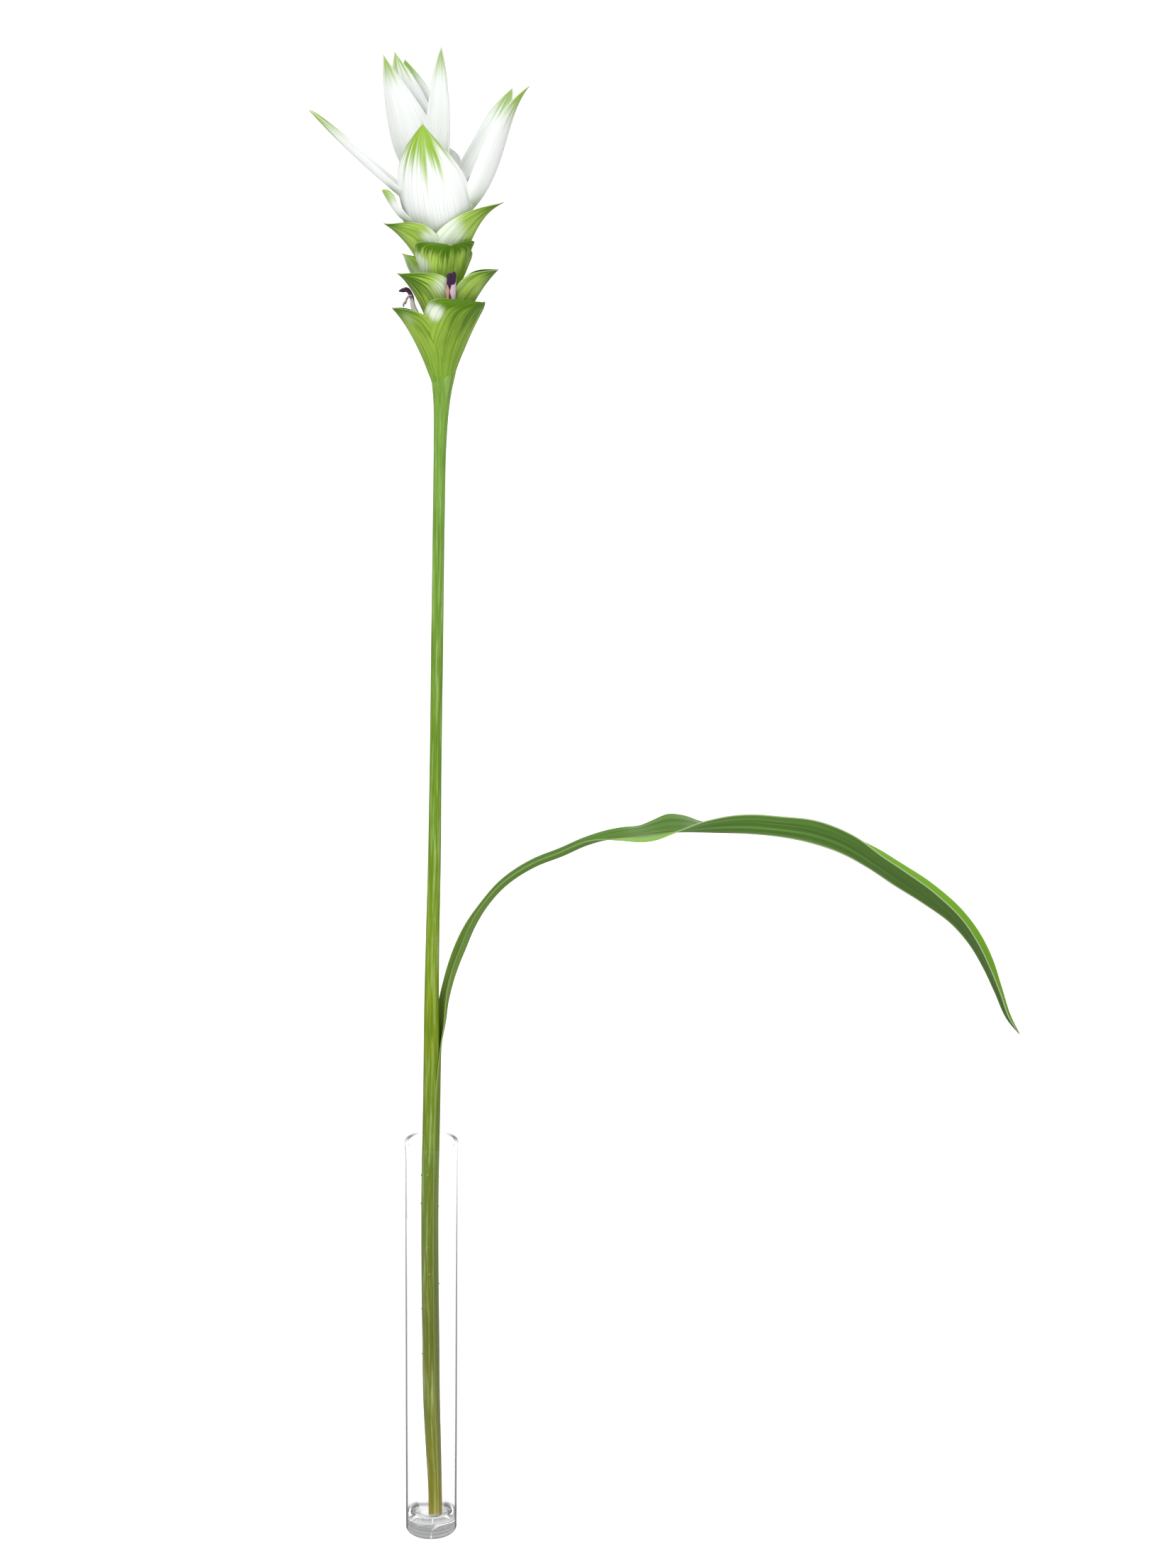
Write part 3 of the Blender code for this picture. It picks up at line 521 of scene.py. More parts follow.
def make_vase(kind):
    """Glass cylinder turned from its profile, with faint ripples round its thick foot.

    The mesh carries how much of the glass shows face on, how grey it is painted there, as
    shade on the foot and dark reflection on the lip, and how strongly its painted dark outline shows.
    """
    outline = vase_profile()
    angles = full_turn(VASE_SIDES)
    radius = outline[:, :1]
    height = outline[:, 1:]
    outer = radius > VASE_BORE_RADIUS + TINY
    near_foot = fade(height - VASE_FOOT_ROUND, VASE_FLOOR) * outer * (height >= VASE_FOOT_ROUND)
    ripple = np.sin(2 * np.pi * height / FOOT_RIPPLE_PITCH + np.sin(FOOT_RIPPLE_LOBES * angles))
    radius = radius - FOOT_RIPPLE * (1 + ripple) / 2 * near_foot
    rings = joined(radius * np.cos(angles), radius * np.sin(angles), height)
    low_inner = ~outer & (height < VASE_FLOOR + VASE_BORE_ROUND)
    lip = height > VASE_HEIGHT - VASE_LIP_ROUND
    inside = radius < VASE_RADIUS + VASE_FLARE - LIP_CLEAR
    # The lip's painted dark reflection shows most on its far sides.
    around_lip = np.exp(-(((np.sin(angles) - LIP_PLACE) / LIP_SPREAD) ** 2))
    lip_shown = np.where(inside, LIP_INSIDE_SHOWN * around_lip, LIP_OUTSIDE_SHOWN)
    shown = FOOT_SHOWN * fade(height - VASE_FLOOR, FOOT_SHOWN_ABOVE) * outer
    shown = np.where(low_inner, BORE_ROUND_SHOWN, shown)
    shown = np.where(lip, lip_shown, shown)
    # Painted grey: shade on the foot and its inner rounding, dark reflection inside the lip.
    tone = np.where(height < VASE_FLOOR, FOOT_PAINTED_SHADE, 0.0)
    tone = np.where(low_inner, BORE_ROUND_PAINTED_SHADE, tone)
    tone = np.where(lip & inside, LIP_PAINTED_REFLECTION, tone)
    # Painted dark reflection along the outline of the wall, stronger low down.
    edge = smooth_curve(WALL_PAINTED_EDGE, height[:, 0]) * outer
    shown_and_painted_shade = joined(np.maximum(shown, WALL_SHOWN), tone, edge)
    ring_piece("glass_vase", rings, kind, {"shown_and_painted_shade": shown_and_painted_shade})


def make_stalk(kind):
    """Flower stalk with its fine ridges, from its cut end to inside the head."""
    stops = STALK + STALK_INSIDE
    heights = np.linspace(stops[0][0], stops[-1][0], STALK_ROWS)
    rows = smooth_curve(stops, heights)
    angles = full_turn(STALK_SIDES)
    twist = STALK_RIDGE_TWIST * np.sin(heights[:, None] / STALK_TWIST_LENGTH)
    ridge = np.cos(STALK_RIDGES * angles + twist)
    ridge = ridge + STALK_FLUTE_SHARE * np.cos(STALK_FLUTES * angles + STALK_FLUTE_TURN)
    radius = rows[:, 2:] + STALK_RIDGE_HEIGHT * ridge
    x = rows[:, :1] + radius * np.cos(angles)
    y = rows[:, 1:2] + radius * np.sin(angles)
    rings = joined(x, y, heights[:, None])
    around = joined(np.cos(angles), np.sin(angles), heights[:, None])
    ring_piece("flower_stalk", rings, kind, {"around": around})


def moved_out(grid, distance):
    """Points of a sheet moved at right angles to it by a distance."""
    along = np.gradient(grid, axis=0)
    across = np.gradient(grid, axis=1)
    return grid + unit(np.cross(along, across)) * distance[..., None]


def sheet_faces(rows, columns):
    """Faces of a closed sheet: outer skin, inner skin and the border that joins them."""
    points = np.arange(rows * columns).reshape(rows, columns)
    corners = [points[:-1, :-1], points[:-1, 1:], points[1:, 1:], points[1:, :-1]]
    outer = np.stack(corners, axis=-1).reshape(-1, 4)
    first = np.concatenate([points[0], points[1:, -1], points[-1, -2::-1], points[-2:0:-1, 0]])
    second = np.roll(first, -1)
    border = np.stack([second, first, points.size + first, points.size + second], axis=-1)
    return np.concatenate([outer, points.size + outer[:, ::-1], border]).tolist()


def distance_to_rim(grid):
    """Distance of each point of a sheet to the nearest point of its two margins."""
    rim = np.concatenate([grid[:, 0], grid[:, -1]])
    return np.array([np.linalg.norm(row[:, None] - rim, axis=-1).min(axis=1) for row in grid])


def rounded_thickness(rim, full):
    """Thickness that rounds off towards the rim."""
    inward = np.clip(rim / EDGE_ROUND, 0, 1)
    return EDGE_THICKNESS + (full - EDGE_THICKNESS) * np.sqrt(inward * (2 - inward))


def sheet_piece(name, grid, thickness, kind, columns):
    """Closed blade around a grid of points. Each column of values is doubled for both skins."""
    outer = moved_out(grid, thickness / 2).reshape(-1, 3)
    inner = moved_out(grid, -thickness / 2).reshape(-1, 3)
    both = {}
    for title, values in columns.items():
        flat = values.reshape(-1, 3)
        both[title] = np.concatenate([flat, flat])
    skin = np.zeros((2 * len(outer), 3))
    skin[len(outer):, 0] = 1
    both["skin"] = skin
    faces = sheet_faces(*grid.shape[:2])
    points = np.concatenate([outer, inner])
    new_piece(name, points, faces, kind, both, TIP_MERGE)


def sheath_stations():
    """Rows of the sheath in the same terms as the free part of the leaf."""
    rows = []
    outward, _ = directions(SHEATH_TURN)
    for height, radius, front_wrap, back_wrap in SHEATH:
        x, y, _ = smooth_curve(STALK, height)[0]
        keel = np.array([x, y, height]) + radius * outward
        front = (radius * math.radians(front_wrap), 0.0, front_wrap)
        back = (radius * math.radians(back_wrap), 0.0, back_wrap)
        rows.append((*keel, SHEATH_TURN - 90, *front, *back))
    return rows


def half_section(keel, side, down, shape, columns):
    """Points of one half of the leaf, from next to the keel out to the margin."""
    width = np.maximum(shape[:, 0], 0)[:, None, None]
    lift, bend = np.radians(shape[:, 1:]).T[..., None]
    angle = (lift + bend * (np.arange(columns) + 0.5) / columns)[..., None]
    steps = side[:, None] * np.cos(angle) - down[:, None] * np.sin(angle)
    return keel[:, None] + np.cumsum(width / columns * steps, axis=1)


def leaf_grid():
    """Points of the leaf, row by row from the foot of the sheath to the tip, and their travel."""
    stations = np.array(sheath_stations() + BLADE)
    steps = np.linalg.norm(np.diff(stations[:, :3], axis=0), axis=1)
    travel = np.concatenate([[0], np.cumsum(steps)])
    places = np.linspace(0, travel[-1], LEAF_ROWS)
    rows = smooth_curve(np.column_stack([travel, stations]), places)
    keel = rows[:, :3]
    forward = unit(np.gradient(keel, places, axis=0))
    under = unit(np.column_stack([forward[:, 2], np.zeros(len(places)), -forward[:, 0]]))
    front_side = unit(np.cross(under, forward))
    turn = np.radians(rows[:, 3])[:, None]
    down = under * np.cos(turn) - front_side * np.sin(turn)
    near = front_side * np.cos(turn) + under * np.sin(turn)
    front = half_section(keel, near, down, rows[:, 4:7], LEAF_FRONT_COLUMNS)
    back = half_section(keel, -near, down, rows[:, 7:10], LEAF_BACK_COLUMNS)
    grid = np.concatenate([back[:, ::-1], keel[:, None], front], axis=1)
    return grid, places


def make_leaf(kind):
    """Sheath, stalk and blade of the leaf as one veined sheet."""
    grid, places = leaf_grid()
    back = np.linspace(-1, 0, LEAF_BACK_COLUMNS + 1)
    front = np.linspace(0, 1, LEAF_FRONT_COLUMNS + 1)[1:]
    across = np.concatenate([back, front])
    along = places[:, None]
    rim = distance_to_rim(grid)
    keel = np.linalg.norm(grid - grid[:, LEAF_BACK_COLUMNS][:, None], axis=-1)
    tip = places[-1] - along
    free = np.clip((along - BLADE_START) / VEIN_EASE, 0, 1)
    vein = np.cos(2 * np.pi * LEAF_VEINS * across) * LEAF_VEIN_HEIGHT * free
    shape = moved_out(grid, vein)
    thickness = rounded_thickness(rim, LEAF_THICKNESS)
    columns = {
        "sheet": joined(across, along, 0),
        "edges": joined(rim, keel, tip),
    }
    sheet_piece("leaf_blade", shape, thickness, kind, columns)


def bract_width(bract, along):
    """Half width of the bract at places from foot (0) to tip (1)."""
    rise = np.clip(along / bract.widest, 0, 1)
    fall = np.clip((along - bract.widest) / (1 - bract.widest), 0, 1)
    growing = bract.share + (1 - bract.share) * np.sin(rise * np.pi / 2)
    return bract.half_width * growing * (1 - fall**bract.blunt) ** bract.hollow


def bract_grid(bract, along, across):
    """Points of a bract, row by row from its foot to its tip."""
    part = along[:, None]
    steer = [np.array(point, float) for point in (bract.foot, bract.knee, bract.belly, bract.tip)]
    line = (
        steer[0] * (1 - part) ** 3
        + 3 * steer[1] * part * (1 - part) ** 2
        + 3 * steer[2] * part**2 * (1 - part)
        + steer[3] * part**3
    )
    slope = unit(np.gradient(line, axis=0))
    outward, sideways = directions(bract.turn)
    axis = smooth_curve(HEAD_AXIS, line[:, 1])
    middle = np.column_stack([axis, np.zeros(len(along))]) + line[:, :1] * outward
    middle = middle + line[:, 1:] * UPWARD + sideways * bract.lean * part**LEAN_CURVE
    face = slope[:, 1:] * outward - slope[:, :1] * UPWARD
    wrap = np.radians(bract.hug + (bract.flare - bract.hug) * along**FLARE_CURVE)
    half = bract_width(bract, along)
    if bract.clasp:
        half = np.minimum(half, wrap * line[:, 0] * (1 + CLASP_EASE * along))
    radius = (half / wrap)[:, None, None]
    kept = np.where(across > 0, bract.plus, bract.minus)
    angle = (across * kept)[None, :, None] * wrap[:, None, None]
    rounding = radius * np.sin(angle) * sideways
    sinking = radius * (1 - np.cos(angle)) * face[:, None]
    return middle[:, None] + rounding - sinking


def bract_sheet(bract, row_count, column_count):
    """Points of a bract, and the place of each across it and along it.

    Rows lie closer together near the tip, and columns near the margins.
    """
    along = 1 - (1 - np.linspace(0, 1, row_count)) ** TIP_ROWS
    even = np.linspace(-1, 1, column_count)
    across = EVEN_COLUMNS * even + (1 - EVEN_COLUMNS) * np.sin(even * np.pi / 2)
    return bract_grid(bract, along, across), *np.meshgrid(across, along)


def bract_colouring(grid, rim, finish, across, along, streaks):
    """Shares of deep green and of the pale patch, partly painted highlight, at each point, and its distance
    to the rim.
    """
    tip = np.linalg.norm(grid - grid[-1, 0], axis=-1)
    green = finish.depth * fade(tip, finish.tip)
    green = np.maximum(green, fade(rim, finish.rim) * fade(1 - along, RIM_GREEN_SHARE))
    for place, half_width, reach in streaks:
        lane = fade(np.abs(across - place), half_width)
        green = np.maximum(green, lane * fade(tip, reach))
    row = np.argmin(np.abs(along[:, 0] - finish.patch_along))
    column = np.argmin(np.abs(across[0] - finish.patch_across))
    from_pale_highlight = np.linalg.norm(grid - grid[row, column], axis=-1)
    pale = finish.patch_strength * fade(from_pale_highlight, finish.patch_size)
    return joined(green, pale, rim)


def make_bract(name, bract, finish, seed, kind, streaks=()):
    """One bract with fine ribs, a wavy margin and its own colouring."""
    grid, u, v = bract_sheet(bract, BRACT_ROWS, BRACT_COLUMNS)
    rim = distance_to_rim(grid)
    ribs = np.cos(np.pi * BRACT_RIBS * u) * BRACT_RIB_HEIGHT * np.sin(np.pi * v)
    turns = BRACT_WAVE_TURNS * v + BRACT_WAVE_SHIFT * seed + np.sign(u)
    wave = BRACT_WAVE * np.abs(u) ** BRACT_WAVE_EDGE * np.sin(turns) * np.sin(np.pi * v) ** 2
    shape = moved_out(grid, ribs + wave)
    from_foot = np.linalg.norm(grid - grid[:1], axis=-1)
    thinner = 1 - FOOT_THINNING * fade(from_foot, FOOT_TAPER)
    thickness = rounded_thickness(rim, BRACT_THICKNESS) * thinner
    columns = {
        "sheet": joined(u, v, seed),
        "tint": bract_colouring(grid, rim, finish, u, v, streaks),
    }
    sheet_piece(name, shape, thickness, kind, columns)


def make_core(name, stops, kind):
    """Round core that the bracts grow from."""
    heights = np.linspace(stops[0][0], stops[-1][0], CORE_ROWS)
    radius = smooth_curve(stops, heights)
    axis = smooth_curve(HEAD_AXIS, heights)
    angles = full_turn(CORE_SIDES)
    x = axis[:, :1] + radius * np.cos(angles)
    y = axis[:, 1:] + radius * np.sin(angles)
    rings = joined(x, y, heights[:, None])
    sheet = joined(np.cos(angles), CORE_PLACE, 0 * y)
    ring_piece(name, rings, kind, {"sheet": sheet, "tint": 0 * sheet})


def tube_in_plane(name, turn_degrees, stops, kind):
    """Round tube whose middle line lies in the upright plane at one turn about the head."""
    outward, sideways = directions(turn_degrees)
    knots = np.column_stack([np.arange(len(stops)), stops])
    line = smooth_curve(knots, np.linspace(0, len(stops) - 1, FLOWER_ROWS))
    slope = unit(np.gradient(line[:, :2], axis=0))
    axis = smooth_curve(HEAD_AXIS, line[:, 1])
    angles = full_turn(FLOWER_SIDES)[:, None]
    rings = []
    for (reach, height, radius), (forward, rise), place in zip(line, slope, axis):
        middle = np.array([*place, 0.0]) + reach * outward + height * UPWARD
        across = rise * outward - forward * UPWARD
        rings.append(middle + radius * (np.cos(angles) * sideways + np.sin(angles) * across))
    along = np.linspace(0, 1, FLOWER_ROWS)[:, None]
    sheet = joined(np.cos(angles[:, 0]), along, TUBE_TONE)
    ring_piece(name, np.array(rings), kind, {"sheet": sheet})


def make_petal(name, petal, tone, kind):
    """One small petal of a violet flower in its own tone."""
    grid, u, v = bract_sheet(petal, PETAL_ROWS, PETAL_COLUMNS)
    wave = PETAL_WAVE * np.abs(u) ** PETAL_WAVE_EDGE * np.sin(PETAL_WAVE_TURNS * v + petal.turn)
    shape = moved_out(grid, wave)
    thickness = rounded_thickness(distance_to_rim(grid), PETAL_THICKNESS)
    sheet_piece(name, shape, thickness, kind, {"sheet": joined(u, v, tone)})


class Nodes:
    """Adds and joins the nodes of one tree."""

    def __init__(self, tree):
        self.tree = tree

    def node(self, type_name, inputs=None, **settings):
        """New node. Each input is a number, a colour or the output of another node."""
        node = self.tree.nodes.new(type_name)
        for name, value in settings.items():
            setattr(node, name, value)
        for name, value in (inputs or {}).items():
            self.feed(node.inputs[name], value)
        return node

    def feed(self, socket, value):
        """Gives a socket a fixed value or the output of another node."""
        if isinstance(value, bpy.types.NodeSocket):
            self.tree.links.new(value, socket)
        else:
            socket.default_value = value

    def place(self, frame_name):
        """The three coordinates of a point."""
        source = self.node("ShaderNodeTexCoord")
        return self.parts(source.outputs[frame_name])

    def data(self, title):
        """The three values that the mesh carries under a title."""
        source = self.node("ShaderNodeAttribute", attribute_name=title)
        return self.parts(source.outputs["Vector"])

    def parts(self, vector):
        """The three numbers of a vector."""
        return tuple(self.node("ShaderNodeSeparateXYZ", {"Vector": vector}).outputs)

    def math(self, operation, first, second=0.0):
        """Result of one sum on two numbers."""
        return self.node("ShaderNodeMath", {0: first, 1: second}, operation=operation).outputs[0]

    def times(self, first, second):
        """Product of two numbers."""
        return self.math("MULTIPLY", first, second)

    def step(self, value, low, high, first=0.0, last=1.0):
        """Smooth change from the first number to the last between two values."""
        sockets = {"Value": value, "From Min": low, "From Max": high, "To Min": first, "To Max": last}
        node = self.node("ShaderNodeMapRange", sockets, interpolation_type="SMOOTHSTEP")
        return node.outputs[0]

    def noise(self, x, y, z, scale, detail):
        """Cloudy pattern between 0 and 1 at a place."""
        place = self.node("ShaderNodeCombineXYZ", {0: x, 1: y, 2: z})
        sockets = {"Vector": place.outputs[0], "Scale": scale, "Detail": detail}
        return self.node("ShaderNodeTexNoise", sockets).outputs["Fac"]

    def blend(self, share, first, second, way="MIX"):
        """Colour between two colours."""
        sockets = {0: share, 6: first, 7: second}
        node = self.node("ShaderNodeMix", sockets, data_type="RGBA", blend_type=way)
        return node.outputs[2]

    def cover(self, base, colour, value, low, high, most=1.0):
        """Base colour with another over it, which comes in as a value goes from low to high."""
        return self.blend(self.step(value, low, high, 0.0, most), base, colour)

    def ramp(self, value, stops):
        """Colour that changes along a value. A stop is a place and a screen colour."""
        node = self.node("ShaderNodeValToRGB", {"Fac": value})
        elements = node.color_ramp.elements
        first, *between, last = [(place, srgb(*screen)) for place, *screen in stops]
        elements[0].position, elements[0].color = first
        elements[1].position, elements[1].color = last
        for place, colour in between:
            elements.new(place).color = colour
        return node.outputs["Color"]


class Shading(Nodes):
    """Nodes of one material around its shader."""

    def __init__(self, name, gloss):
        self.material = bpy.data.materials.new(name)
        self.material.use_nodes = True
        super().__init__(self.material.node_tree)
        self.shader = self.tree.nodes["Principled BSDF"]
        self.give("Specular IOR Level", gloss)

    def give(self, title, value):
        """Gives the shader a fixed value or the output of another node."""
        self.feed(self.shader.inputs[title], value)

    def raise_surface(self, height, strength, distance):
        """Fine relief from a pattern."""
        sockets = {"Height": height, "Strength": strength, "Distance": distance * MM}
        self.give("Normal", self.node("ShaderNodeBump", sockets).outputs["Normal"])

    def soften(self, weight, depth):
        """Light that spreads a little under the skin. The depth is in millimetres."""
        self.give("Subsurface Weight", weight)
        self.give("Subsurface Scale", depth * MM)

    def finish(self, colour, roughness):
        """Joins the colour and the roughness to the shader."""
        self.give("Base Color", colour)
        self.give("Roughness", roughness)
        return self.material


def glass_material():
    """Clear glass with faint unevenness, thinner to the eye where the wall is seen face on.

    Its foot and inner rounding are painted grey as shade, and its lip and outline are painted grey and dull
    as dark reflection; all but the outline in bands that follow the height.
    """
    made = Shading("clear_glass", 0.1)
    made.give("IOR", 1.5)
    x, y, height = made.place("Object")
    cloud = made.noise(x, y, height, 120.0, 1.0)
    made.raise_surface(cloud, 0.05, 0.3)
    # Tone is grey painted as shade on the foot and inner rounding and as dark reflection on the lip; edge is
    # the strength of the painted dark outline.
    face_on, tone, edge = made.data("shown_and_painted_shade")
    bands = made.noise(x, y, made.times(height, 700.0), 1.0, 2.0)
    banded = made.times(tone, made.step(bands, 0.4, 0.62, 0.4, 1.0))
    layer = made.node("ShaderNodeLayerWeight", {"Blend": 0.5})
    grazing = made.times(edge, made.step(layer.outputs["Facing"], 0.54, 0.86))
    outline = made.math("MINIMUM", grazing, 1.0)
    # The glass turns dark grey where painted shade and painted dark reflection lie.
    painted_shade_share = made.math("MAXIMUM", banded, outline)
    body = made.blend(painted_shade_share, (0.985, 0.99, 0.99, 1), srgb(92, 96, 96))
    made.give("Alpha", made.math("MAXIMUM", made.times(outline, EDGE_SHOWN), face_on))
    dull = made.math("MAXIMUM", outline, made.step(tone, 1.0, LIP_PAINTED_REFLECTION))
    made.give("Transmission Weight", made.step(dull, 0.0, 1.0, 1.0, 1 - EDGE_DULL))
    return made.finish(body, made.step(cloud, 0.45, 0.8, 0.0, 0.03))


def stalk_material():
    """Fresh stalk: olive at its foot, yellow-green above the vase, light green under the head."""
    made = Shading("stalk_green", 0.25)
    around_x, around_y, height = made.data("around")
    base = made.ramp(made.math("DIVIDE", height, STALK[-1][0]), [
        (0, 190, 150, 60), (0.03, 150, 135, 40), (0.1, 126, 126, 40),
        (0.18, 110, 112, 32), (0.33, 106, 126, 28), (0.48, 136, 158, 14),
        (0.62, 114, 150, 24), (0.78, 118, 158, 56), (0.93, 126, 172, 72),
        (1, 130, 172, 66),
    ])
    along = made.times(height, 0.012)
    lanes = made.noise(around_x, around_y, along, 3.4, 4.0)
    light = made.cover(base, srgb(182, 212, 130), lanes, 0.48, 0.68, 0.5)
    dark = made.cover(light, srgb(78, 110, 14), lanes, 0.52, 0.3, 0.55)
    fine = made.noise(around_x, around_y, along, 14.0, 2.0)
    lined = made.cover(dark, srgb(92, 122, 30), fine, 0.4, 0.62, 0.3)
    speckle = made.noise(around_x, around_y, made.times(height, 0.15), 6.0, 2.0)
    colour = made.cover(lined, srgb(104, 84, 40), speckle, 0.68, 0.76, 0.55)
    made.raise_surface(fine, 0.25, 0.25)
    return made.finish(colour, made.step(lanes, 0.3, 0.7, 0.3, 0.44))


def leaf_material():
    """Leaf with parallel veins, pale margins, a keel painted with brown shade and a pale highlight, and an
    upper skin painted lighter where light falls. Its sheath is like the stalk.
    """
    made = Shading("leaf_green", 0.3)
    across, along, _ = made.data("sheet")
    rim, keel, tip = made.data("edges")
    upper, _, _ = made.data("skin")
    share = made.math("DIVIDE", along, LEAF_LENGTH)
    base = made.ramp(share, [
        (0, 170, 145, 55), (0.05, 140, 132, 42), (0.2, 112, 122, 36),
        (0.38, 128, 152, 34), (0.46, 126, 160, 62), (0.58, 102, 146, 52),
        (0.75, 84, 130, 42), (1, 70, 108, 28),
    ])
    slow = made.times(along, 0.008)
    lanes = made.noise(made.times(across, 7.0), slow, 0.0, 1.0, 4.0)
    streaked = made.cover(base, srgb(66, 92, 22), lanes, 0.48, 0.68, 0.75)
    lightening = made.cover(streaked, srgb(124, 172, 66), lanes, 0.46, 0.28, 0.7)
    fine = made.noise(made.times(across, 60.0), slow, 3.0, 1.0, 2.0)
    veined = made.cover(lightening, srgb(58, 90, 24), fine, 0.42, 0.66, 0.4)
    waves = made.math("COSINE", made.times(across, 2 * math.pi * LEAF_VEINS))
    grooved = made.cover(veined, srgb(50, 78, 20), waves, -0.6, -0.98, 0.4)
    # Painted light: the upper skin is painted lighter where light falls on it, across the outer front half
    # and along the far part of the blade.
    lit = made.math("MAXIMUM", made.step(across, 0.25, 0.6), made.step(along, 450.0, 490.0))
    painted_light_share = made.times(made.times(upper, lit), 0.8)
    painted_lit_face = made.blend(painted_light_share, grooved, srgb(128, 184, 40))
    # Painted shade and painted highlight along the keel: dark brown shade on its lower part, a pale highlight
    # further out.
    keel_shade_and_highlight = made.ramp(share, [
        (0.40, 112, 104, 44), (0.72, 92, 72, 40), (0.78, 205, 216, 180),
        (0.92, 196, 212, 160), (1, 96, 130, 50),
    ])
    painted_keel = made.cover(painted_lit_face, keel_shade_and_highlight, keel, 0.9, 0.3, 0.75)
    margin = made.times(made.step(rim, 0.7, 0.2), made.step(along, 360.0, 420.0, 0.2, 0.7))
    far_margin = made.times(margin, made.step(upper, 0.0, 1.0, 1.0, 0.3))
    edged = made.blend(far_margin, painted_keel, srgb(205, 218, 175))
    dried = made.cover(edged, srgb(150, 130, 70), tip, 6.0, 1.0, 0.7)
    made.raise_surface(fine, 0.3, 0.3)
    made.soften(0.08, 0.8)
    return made.finish(dried, made.step(fine, 0.3, 0.7, 0.34, 0.5))


def bract_material(name, stops, deep, pale, vein, edge, softness, gloss, streaks, lightening):
    """Bract that turns deep green towards its tip, with streaks, veins and a light rim.

    The last argument says how much painted light lifts the bracts above the lowest three, lighter and
    yellower, against the shade that the bracts around them cast.
    """
    made = Shading(name, gloss)
    across, along, seed = made.data("sheet")
    green, patch, rim = made.data("tint")
    # Painted light: the bracts above the lowest three are lifted towards a light yellow-green, against the
    # shade of the bracts around them.
    base = made.cover(made.ramp(along, stops), srgb(200, 232, 112), seed, 1.5, 2.5, lightening)
    seed_place = made.times(seed, 7.3)
    lanes = made.noise(made.times(across, 10.0), along, seed_place, 1.6, 4.0)
    fine = made.noise(made.times(across, 42.0), along, seed_place, 1.0, 2.0)
    broad = made.noise(made.times(across, 2.2), made.times(along, 1.6), seed_place, 1.4, 2.0)
    shaded = made.cover(base, deep, broad, 0.48, 0.72, streaks)
    streaked = made.cover(shaded, deep, lanes, 0.48, 0.66, streaks)
    off_middle = made.math("SUBTRACT", lanes, 0.5)
    ragged_green = made.math("ADD", green, made.times(off_middle, 1.7))
    deepened = made.cover(streaked, deep, ragged_green, 0.15, 0.85)
    # The pale patch is partly the bract's pale colour and partly a painted highlight.
    ragged_patch = made.math("ADD", patch, made.times(off_middle, 1.2))
    whitened = made.cover(deepened, pale, ragged_patch, 0.15, 0.95)
    veined = made.blend(made.step(fine, 0.45, 0.66, 0.0, 0.5), whitened, vein, "MULTIPLY")
    rimmed = made.cover(veined, edge, rim, 0.5, 0.12, 0.6)
    made.raise_surface(fine, 0.25, 0.25)
    made.give("Subsurface Radius", (1.0, 1.0, 0.9))
    made.soften(softness, 1.0)
    return made.finish(rimmed, made.step(fine, 0.3, 0.7, 0.3, 0.46))


def green_bract_material():
    """Green bract with deeper streaks and a pale patch that is partly painted highlight."""
    stops = [
        (0, 128, 170, 66), (0.14, 138, 178, 60), (0.35, 144, 180, 60),
        (0.7, 158, 190, 70), (1, 126, 160, 44),
    ]
    deep = srgb(82, 124, 2)
    pale = srgb(232, 242, 222)
    vein = srgb(150, 178, 96)
    edge = srgb(196, 216, 150)
    look = {"softness": 0.06, "gloss": 0.2, "streaks": 0.42, "lightening": 0.5}
    return bract_material("bract_green", stops, deep, pale, vein, edge, **look)


def white_bract_material():
    """White bract with a green tip."""
    stops = [(0, 238, 241, 235), (0.3, 244, 246, 244), (1, 244, 246, 246)]
    deep = srgb(146, 184, 50)
    pale = srgb(250, 250, 250)
    vein = srgb(226, 231, 226)
    edge = srgb(228, 232, 225)
    look = {"softness": 0.3, "gloss": 0.3, "streaks": 0.0, "lightening": 0.0}
    return bract_material("bract_white", stops, deep, pale, vein, edge, **look)


def petal_material():
    """Violet flower: pale lilac with veins, pink or near black by the tone of each petal."""
    made = Shading("violet_petal", 0.3)
    across, along, tone = made.data("sheet")
    fine = made.noise(made.times(across, 6.0), along, tone, 1.5, 3.0)
    shift = made.times(made.math("SUBTRACT", fine, 0.5), 0.3)
    place = made.math("ADD", along, shift)
    lilac = made.ramp(place, [
        (0, 232, 205, 215), (0.5, 222, 205, 212), (0.8, 205, 170, 200),
        (1, 80, 50, 88),
    ])
    veined = made.cover(lilac, srgb(128, 66, 104), fine, 0.55, 0.66, 0.6)
    pink = made.ramp(place, [
        (0, 216, 176, 120), (0.6, 212, 160, 140), (1, 150, 90, 110),
    ])
    dark = made.ramp(fine, [(0.35, 40, 22, 44), (0.7, 78, 42, 84)])
    tube = made.ramp(place, [
        (0, 240, 238, 230), (0.36, 228, 212, 216), (0.46, 96, 46, 92),
        (1, 46, 24, 50),
    ])
    with_pink = made.cover(veined, pink, tone, 0.4, 0.6)
    with_dark = made.cover(with_pink, dark, tone, 1.4, 1.6)
    colour = made.cover(with_dark, tube, tone, 2.4, 2.6)
    made.raise_surface(fine, 0.3, 0.2)
    return made.finish(colour, made.step(fine, 0.3, 0.7, 0.35, 0.55))


